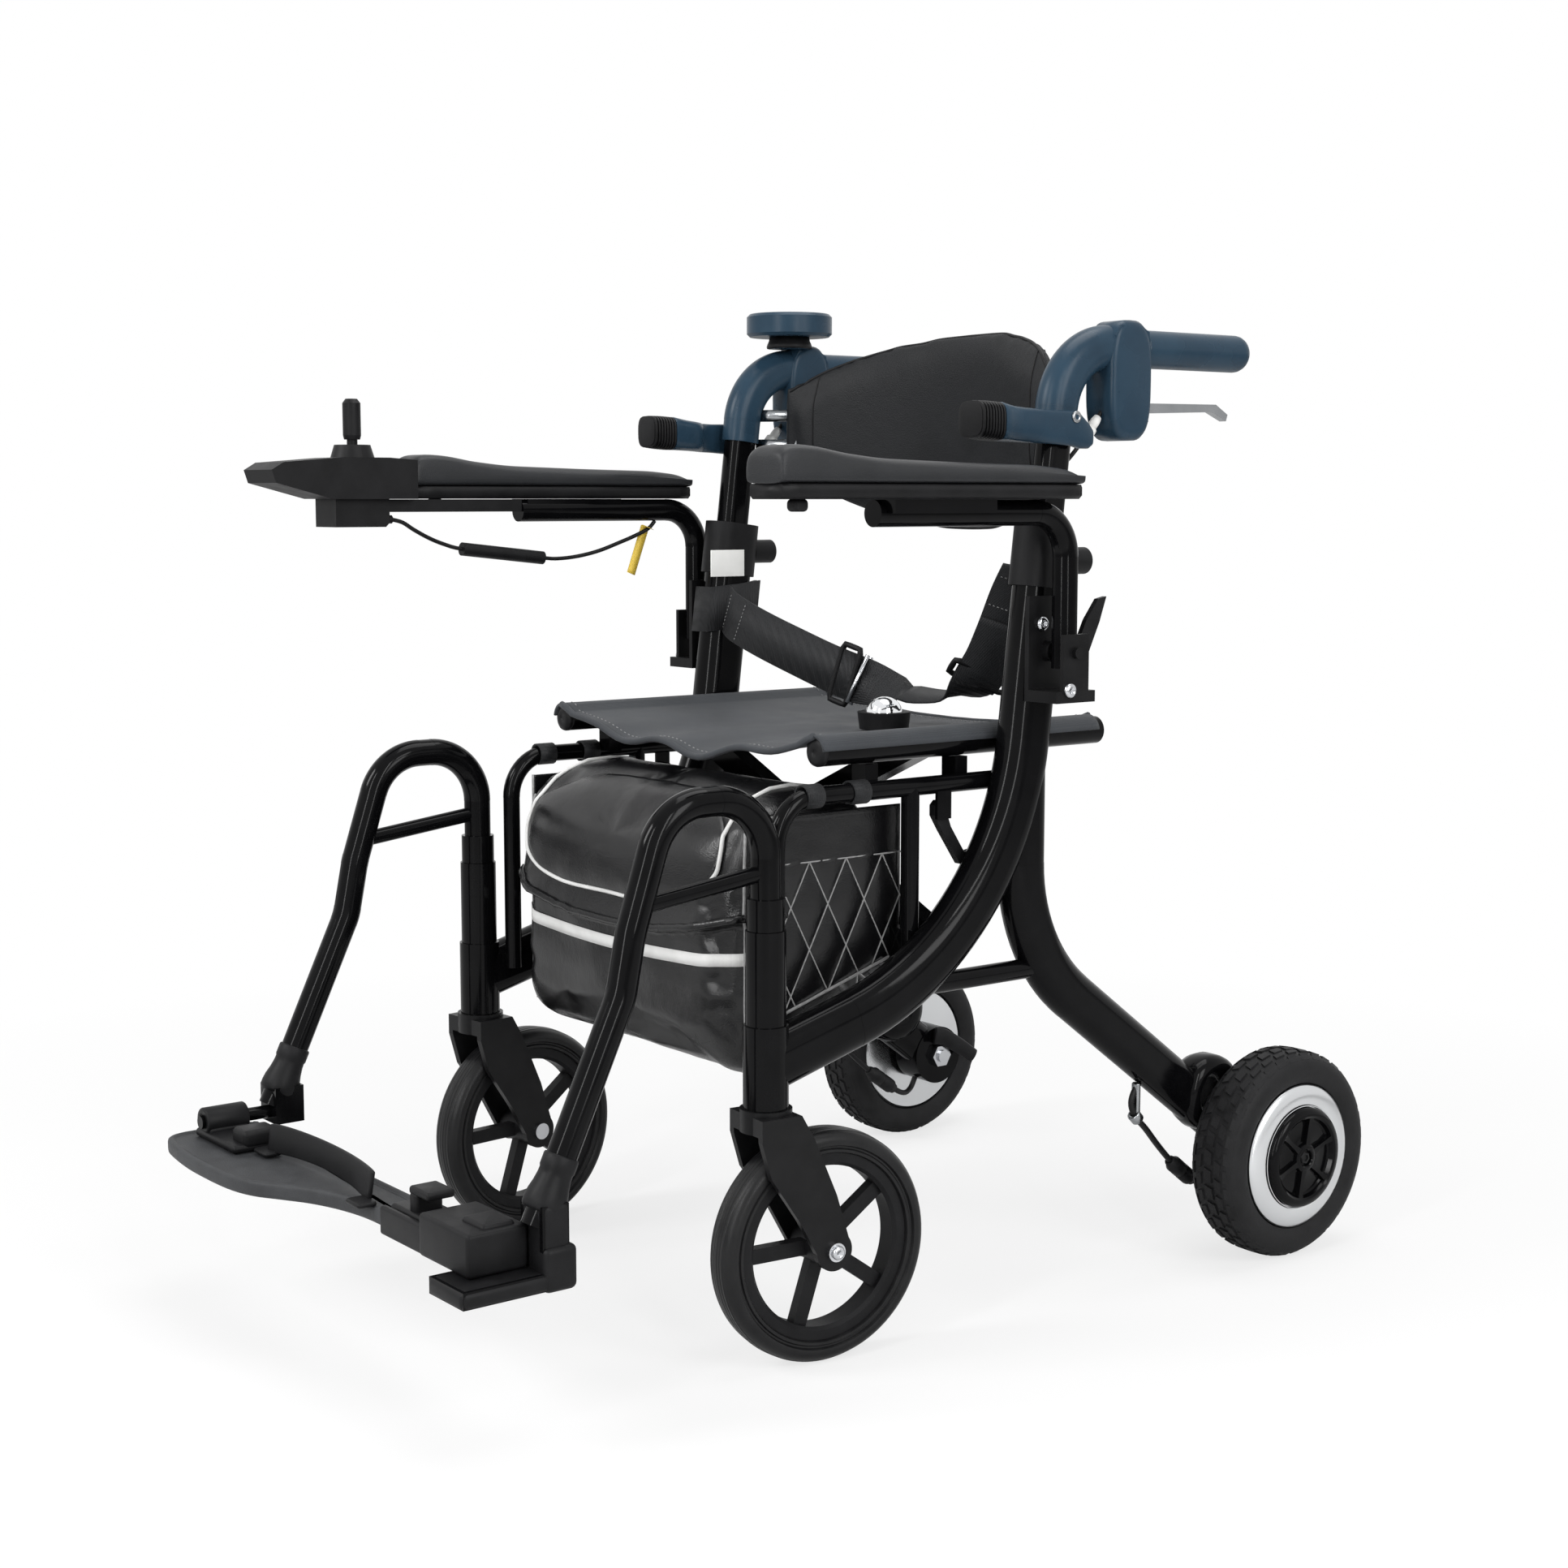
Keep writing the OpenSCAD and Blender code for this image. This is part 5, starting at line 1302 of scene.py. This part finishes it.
# each ring: length from the pin, height of its middle, half its height, inner and outer side
LEVER_RINGS = [(23, -17, 7, 250.5, 258), (18, -16, 11, 249.4, 259.4), (8, -12, 15, 249, 260),
               (0, -9.5, 15.5, 249, 260), (-20, -9, 14.6, 249, 260.4), (-34, -8.5, 14.6, 248, 260.6),
               (-42, -8, 14.8, 237, 260), (-52, -7.4, 15, 231, 257.4), (-64, -6.6, 15.4, 228.6, 256.8),
               (-74, -5.6, 16, 227, 259.4), (-80, -5, 16.6, 226.4, 260.8), (-82, -5, 16.4, 226.6, 260.6)]
NOSE_RINGS = [(-81.5, -5, 14, 228, 259)]
for rib in range(8):
    shrink = 0.06 * max(rib - 3, 0) ** 1.7
    for step, tall, x_in, x_out in ((0, 16.6, 226.4, 260.8), (1.7, 16.4, 226.6, 260.6),
                                    (2.1, 14.6, 228.2, 259), (2.9, 14.6, 228.2, 259)):
        NOSE_RINGS.append((-83 - 3.2 * rib - step, -5 + rib * 0.2, tall - shrink, x_in + shrink, x_out - shrink))
NOSE_RINGS.append((-109, -3.4, 9, 232, 255))


def lever_shape(rings, sign):
    skins = []
    for dy, dz, tall, x_in, x_out in rings:
        middle, half = (x_in + x_out) / 2, (x_out - x_in) / 2
        skins.append([LOCK_PIN + Vector((sign * (middle + half * c), dy, dz + tall * s))
                      for c, s in squared_oval(24, 0.55, 0.6)])
    return loft_faces(skins)


for side, sign in SIDES.items():
    lever = make_piece(side + "_lock_handle", lever_shape(LEVER_RINGS, sign), handle_blue,
                       side + "_lock_lever", sharp=50)
    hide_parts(side + "_lock_lever")
    moulding(side + "_lock_thumb", lever_shape(NOSE_RINGS, sign), side + "_lock_lever", sharp=40)
    pin = turned([(0.3, 0), (5.2, 0), (5.2, 0.8), (4.2, 1.5), (2.6, 1.5), (2.2, 0.8), (0.3, 0.8)],
                 LOCK_PIN + Vector((sign * 260, 0, 0)), (sign, 0, 0), 24)
    make_piece(side + "_lock_pin", pin, lever_steel, side + "_lock_lever")
print("lock levers", round(LEVER_RINGS[0][0] - NOSE_RINGS[-1][0]), "mm long")

# %% [markdown]
# ## Footplate
#
# The footplate is a grey moulding: deep under the feet, narrowing to a black catch at its free end, with
# a rounded rim and a shallow tray. One outline, offset inwards step by step, gives rim and tray.

# %% Footplate
PLATE_FRONT = [(-262, -470), (-258, -484), (-244, -494), (-205, -500), (-165, -502), (-110, -500), (-76, -492),
               (-50, -477), (-24, -462), (10, -450), (50, -444), (110, -445), (160, -450), (206, -454),
               (222, -452), (228, -444)]
PLATE_REAR = [(228, -416), (222, -404), (210, -401), (90, -401), (-60, -401), (-236, -401), (-256, -405),
              (-262, -418)]
PLATE_EDGE = [(132, 5), (132.6, 2), (134.4, 0.4), (137, 0), (142.6, 0), (144.8, 0.5), (145.8, 1.6), (146.2, 3.2),
              (146, 4.8), (144.6, 6.2), (144.2, 8)]  # height and inset, from below round the rim into the tray


def inset_outline(outline, inset):
    """Move each point of an outline inwards, square to its neighbours."""
    ways = tangents(outline, closed=True)
    return [at + Vector((-way.y, way.x, 0)) * inset for at, way in zip(outline, ways)]


plate_outline = []
for edge in (PLATE_FRONT, PLATE_REAR):
    plate_outline += smooth_route([(x, y, 0) for x, y in edge], 4)
plate_rings = [[p + Vector((0, 0, z)) for p in inset_outline(plate_outline, inset)] for z, inset in PLATE_EDGE]
plate = make_piece("footplate_tray", loft_faces(plate_rings), plate_grey, "footplate", sharp=50)
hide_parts("footplate")
print("footplate outline of", len(plate_outline), "points")

# %% [markdown]
# ## Footplate fittings
#
# A hinge barrel carries the plate on the right hanger, and a channel with a catch locks its free end on the
# left one. A clamp closes each hanger leg, and a moulded cover hides the left foot's block. Blocks are
# rounded boxes; the barrel and the clamps are turned.

# %% Footplate fittings
catch = [rounded_box((150, -423, 149), (150, 34, 10), 4), rounded_box((150, -446.5, 142), (148, 7, 24), 3),
         rounded_box((108, -424, 160), (12, 26, 20), 4), rounded_box((118, -424, 171), (32, 26, 7), 3),
         rounded_box((206, -424, 166), (34, 30, 10), 4), rounded_box((190, -428.5, 150), (78, 54, 35), 4)]
moulding("footplate_catch", joined(catch), "footplate")
barrel = [(6.3, -20), (12.4, -20), (13, -19)]
hinge = [turned(barrel + reflected(barrel), (-FRAME_X, -445, 160), (0, 1, 0), 40),
         rounded_box((-FRAME_X, -445, 150), (26, 38, 12), 3), rounded_box((-205, -445, 148.5), (84, 44, 8), 4),
         rounded_box((-176, -440, 156), (28, 34, 16), 5)]
moulding("footplate_hinge", joined(hinge), "footplate")
leg_way = Vector((0, -80, -170)).normalized()
for side, sign in SIDES.items():
    collar = turned([(12.3, 0), (13.6, 0.3), (14.3, 1.6), (14.3, 11), (13.5, 13), (13.7, 17), (14.8, 24),
                     (16.6, 31), (17.4, 37), (17.4, 42), (16, 45), (12.3, 45)],
                    (sign * FRAME_X, -372.5, 217), leg_way, 40)
    moulding(side + "_hanger_clamp", collar, side + "_hanger")
foot = [rounded_box((FRAME_X, -388, 152), (34.5, 25.5, 67), 6), rounded_box((240, -386, 134), (26, 30, 36), 6),
        rounded_box((224, -425.6, 124.3), (55, 96, 15), 6)]
moulding("left_foot_cover", joined(foot), "left_hanger")
print("footplate catch of", len(catch), "blocks")

# %% [markdown]
# ## Heel strap
#
# A broad rubber strap keeps the heels on the footplate. It stands on edge across the plate in a
# shallow bow, arched off the plate in the middle, with a riveted tab at each end.

# %% Heel strap
STRAP = {"mid": (-52, -433), "bend": 520, "sweep": 21, "plate": 146}


def strap_shape():
    path, wide, thick = [], [], []
    for k in range(41):
        share = k / 40
        angle = math.radians(90 + STRAP["sweep"] * (0.5 - share))
        out = Vector((math.cos(angle), math.sin(angle), 0))
        arch = 5 * math.sin(math.pi * share) ** 0.6
        height = 26 - 3 * math.sin(math.pi * share)
        middle = Vector((STRAP["mid"][0], STRAP["mid"][1] - STRAP["bend"], STRAP["plate"] + arch + height / 2))
        path.append(middle + out * (STRAP["bend"] + 2.5))
        lean = (Vector((0, 0, 1)) + out * 0.16).normalized()
        wide.append(lean * height / 2)
        thick.append((out - Vector((0, 0, 0.16))).normalized() * 2)
    return ribbon(path, wide, thick)


strap = make_piece("heel_strap_band", strap_shape(), moulded_black, "footplate")
edge_round = strap.modifiers.new("edge_round", "BEVEL")
edge_round.width, edge_round.segments = 0.0012, 2
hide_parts("foot_strap")
tabs = [rounded_box((x, -437 - 0.0009 * (x + 70) ** 2, STRAP["plate"] + 2), (26, 18, 4), 4) for x in (-146, 42)]
make_piece("heel_strap_tabs", joined(tabs), moulded_black, "footplate")
print("heel strap on", len(tabs), "tabs")

# %% [markdown]
# ## Bolts, caps and small fittings
#
# Fasteners tell how the chair is put together: domed socket bolts on the brackets and forks, plugs in
# the open tube ends. Each bolt is a turned head dropped on the CAD surface by a ray, so none floats.


# %% Bolts, caps and small fittings
def bolt_head(name, node, sign, y, z, r, body):
    """A socket bolt of radius r on the outer face of a solid, seen from the side."""
    place, facing, _, _ = ray_tree(nodes[node].data).ray_cast(Vector((sign * 500, y, z)), Vector((-sign, 0, 0)))
    if place is None:
        print("no surface under", name)
        return
    profile = [(0.2, -0.3), (r, -0.3), (r, 0.25 * r), (0.86 * r, 0.5 * r), (0.6 * r, 0.62 * r),
               (0.45 * r, 0.62 * r), (0.42 * r, 0.3 * r), (0.2, 0.3 * r)]
    make_piece(name, turned(profile, place, facing, 24), bright_steel, body)


for side, sign in SIDES.items():
    for k, z in enumerate((614, 558)):
        bolt_head(f"{side}_bracket_bolt_{k}", side + "_arm_bracket", sign, 108, z, 6.5, side + "_frame")
    bolt_head(side + "_fork_bolt", side + "_front_axle", sign, CASTER.y - 3, CASTER.z, 6, side + "_caster")
    seat_body = "front_brace" if sign > 0 else "rear_brace"
    plug = turned([(0.3, -4), (11, -4), (12.6, -3.2), (12.6, -0.4), (11.8, 1.6), (8, 3), (0.3, 3.6)],
                  (sign * SEAT["half"], -95.5, SEAT["z"]), (0, -1, 0), 32)
    moulding(side + "_seat_tube_plug", plug, seat_body)
print("fittings in place")

# %% [markdown]
# ## Motor bosses
#
# Each rear leg ends in a fat rounded barrel beside the motor wheel. It is turned, with soft rims that
# carry a long highlight. On the inner side a short black lever stands off the axle: a flat bar lofted
# along a bent route. A steel clip holds the motor lead to the leg.

# %% Motor bosses
BOSS = [(0.3, -21), (22, -21), (29, -18.6), (34, -13), (37, -5), (37, 8), (36, 13), (33, 17.4), (28.5, 20),
        (25, 20.3), (23.4, 18.8), (0.3, 18.8)]
CLIP_HALF = [(3.1, -5), (5.6, -5), (6.3, -4)]
LEVER_ROUTE = [(207, 392, 125), (205, 404, 122), (201, 422, 111), (197, 441, 97)]
for side, sign in SIDES.items():
    boss = turned(BOSS, (sign * FRAME_X, 350, 157), (sign, 0, 0), 48)
    make_piece(side + "_motor_boss", boss, gloss_black, side + "_frame")
    bar = smooth_route([(sign * x, y, z) for x, y, z in LEVER_ROUTE], 5)
    bar_rings = []
    for i, (at, way) in enumerate(zip(bar, tangents(bar))):
        across = Vector((0, -way.z, way.y)).normalized() * (10 - 2 * i / len(bar))
        bar_rings.append([at + Vector((3.4 * math.cos(turn), 0, 0)) + across * math.sin(turn)
                          for turn in (math.tau * k / 16 for k in range(16))])
    moulding(side + "_release_lever", loft_faces(bar_rings), side + "_frame")
    clip = [turned(CLIP_HALF + reflected(CLIP_HALF), (sign * FRAME_X, 259, 146), (0, -1, 1), 24),
            rounded_box((sign * FRAME_X, 259, 164), (9, 5, 30), 2)]
    make_piece(side + "_lead_clip", joined(clip), lever_steel, side + "_frame")
print("motor bosses", 2 * BOSS[4][0], "mm across")

# %% [markdown]
# ## Handle brackets and palm neck
#
# Under each grip hangs a rounded bracket that houses the brake lever's pin. It is a skin over the CAD
# block with a squared oval outline. The palm disc turns on a black neck.


# %% Handle brackets and palm neck
def bracket_skin(sign):
    half = [(-18.4, 0.8), (-18, 0.88), (-16.4, 0.95), (-13, 1)]
    rings = []
    for x, size in half + mirrored(half):
        rings.append([Vector((sign * FRAME_X + x, 220.5 + 25.5 * size * c, 826 + 53 * size * s))
                      for c, s in squared_oval(48, 0.62, 0.62)])
    return loft_faces(rings)


for side, sign in SIDES.items():
    make_piece(side + "_handle_bracket", bracket_skin(sign), handle_blue, side + "_handle",
               sharp=60)
neck = turned([(19.9, 0.2), (23, 0.2), (23.6, 2), (22.6, 5), (21.2, 8), (20.6, 11.9), (19.9, 11.9)],
              (-216, 193.5, 874.8), (0, 0, 1), 48)
moulding("palm_neck_sleeve", neck, "palm_knob")
print("brackets under both grips")

# %% [markdown]
# ## Brake cables
#
# A short brake cable comes out of each handle's hollow, through a white nylon adjuster, and goes into
# the handle tube. It bends little, so it is a stiff cord held at both ends.

# %% Brake cables
CABLE_ROUTE = [(205, 806), (199, 800), (191, 791), (182, 781), (173, 771), (164, 762), (156, 755), (150, 750)]
for side, sign in SIDES.items():
    route = [(sign * 234, y, z) for y, z in CABLE_ROUTE]
    cable, path, length = lead_curve(side + "_brake_cable", route, 4, side + "_handle")
    middle, way = Vector(route[3]), (Vector(route[4]) - Vector(route[2])).normalized()
    adjuster = turned([(2.2, -17), (3.6, -16.6), (4.4, -12), (4.4, -4), (6, -3.4), (6, 3.4), (4.4, 4),
                       (4.4, 11), (3.4, 14), (2.2, 14.4)], middle, way, 24)
    adjuster_piece = make_piece(side + "_cable_adjuster", adjuster, white_nylon, side + "_handle")
print("brake cables", round(length, 3), "m each")

# %% [markdown]
# ## Studio floor
#
# The chair stands on white paper that keeps only a soft shadow. To the camera the paper glows, more the
# further it is from the chair, so it runs into the white background without an edge.


# %% Studio floor
def surface_mix(tree, output, share, first, second):
    """Show second over first by a share, as a tree's surface."""
    mix = tree.nodes.new("ShaderNodeMixShader")
    for socket, source in zip(mix.inputs, (share, first, second)):
        tree.links.new(source, socket)
    feed(tree, tree.nodes[output], Surface=mix.outputs["Shader"])


paper, paper_tree, paper_shader, paper_places = shader(
    "floor_paper", Base_Color=(0.8, 0.8, 0.8, 1), Roughness=0.9, Specular_IOR_Level=0.0)
away = paper_tree.nodes.new("ShaderNodeVectorMath")
away.operation = "LENGTH"
paper_tree.links.new(paper_places, away.inputs[0])
fade = add_node(paper_tree, "ShaderNodeMapRange", Value=away.outputs["Value"], From_Min=0.55, From_Max=1.5,
                To_Min=0.72, To_Max=1.0)
to_camera = paper_tree.nodes.new("ShaderNodeLightPath").outputs["Is Camera Ray"]
surface_mix(paper_tree, "Material Output", combined(paper_tree, "MULTIPLY", to_camera, fade.outputs["Result"]),
            paper_shader.outputs["BSDF"], paper_tree.nodes.new("ShaderNodeEmission").outputs["Emission"])
floor_mesh = bpy.data.meshes.new("floor")
floor_mesh.from_pydata([(-40, -40, 0), (40, -40, 0), (40, 40, 0), (-40, 40, 0)], [], [(0, 1, 2, 3)])
floor_mesh.materials.append(paper)
floor = linked("floor", floor_mesh)
print("floor laid")

# %% [markdown]
# ## World and lamps
#
# The world looks white to the camera and in reflections but lights the chair at a plain level. Three large
# soft lamps give the shapes their shading, and two tall strips draw long highlights down the tubes.


# %% World and lamps
def studio_world(level):
    world = bpy.data.worlds.new("studio")
    world.use_nodes = True
    scene.world = world
    tree = world.node_tree
    seen = tree.nodes.new("ShaderNodeLightPath")
    light = tree.nodes["Background"]
    feed(tree, light, Color=(1, 1, 1, 1), Strength=level)
    white = add_node(tree, "ShaderNodeBackground", Color=(1, 1, 1, 1))
    total = seen.outputs["Is Camera Ray"]
    for ray in ("Is Glossy Ray", "Is Transmission Ray"):
        total = combined(tree, "MAXIMUM", total, seen.outputs[ray])
    surface_mix(tree, "World Output", total, light.outputs["Background"], white.outputs["Background"])


def soft_lamp(name, place, aim, size, watts):
    lamp = bpy.data.lights.new(name, "AREA")
    lamp.shape = "RECTANGLE"
    lamp.size, lamp.size_y = size
    lamp.energy = watts
    lamp_object = linked(name, lamp)
    lamp_object.location = place
    lamp_object.rotation_euler = (Vector(aim) - Vector(place)).to_track_quat("-Z", "Y").to_euler()


studio_world(0.45)
soft_lamp("key_lamp", (-0.9, -2.6, 2.3), (0, 0, 0.45), (0.8, 1.2), 46)
soft_lamp("side_lamp", (2.9, 0.4, 1.9), (0, 0.1, 0.45), (0.9, 1.6), 34)
soft_lamp("top_lamp", (0.1, 0.5, 2.9), (0, 0.1, 0.5), (1.6, 1.6), 30)
soft_lamp("front_strip", (0.9, -2.6, 1.5), (0, 0, 0.5), (0.22, 2.2), 28)
soft_lamp("left_strip", (2.6, -0.7, 1.5), (0, 0, 0.5), (0.22, 2.2), 22)
print("studio lit by", len(bpy.data.lights), "lamps")
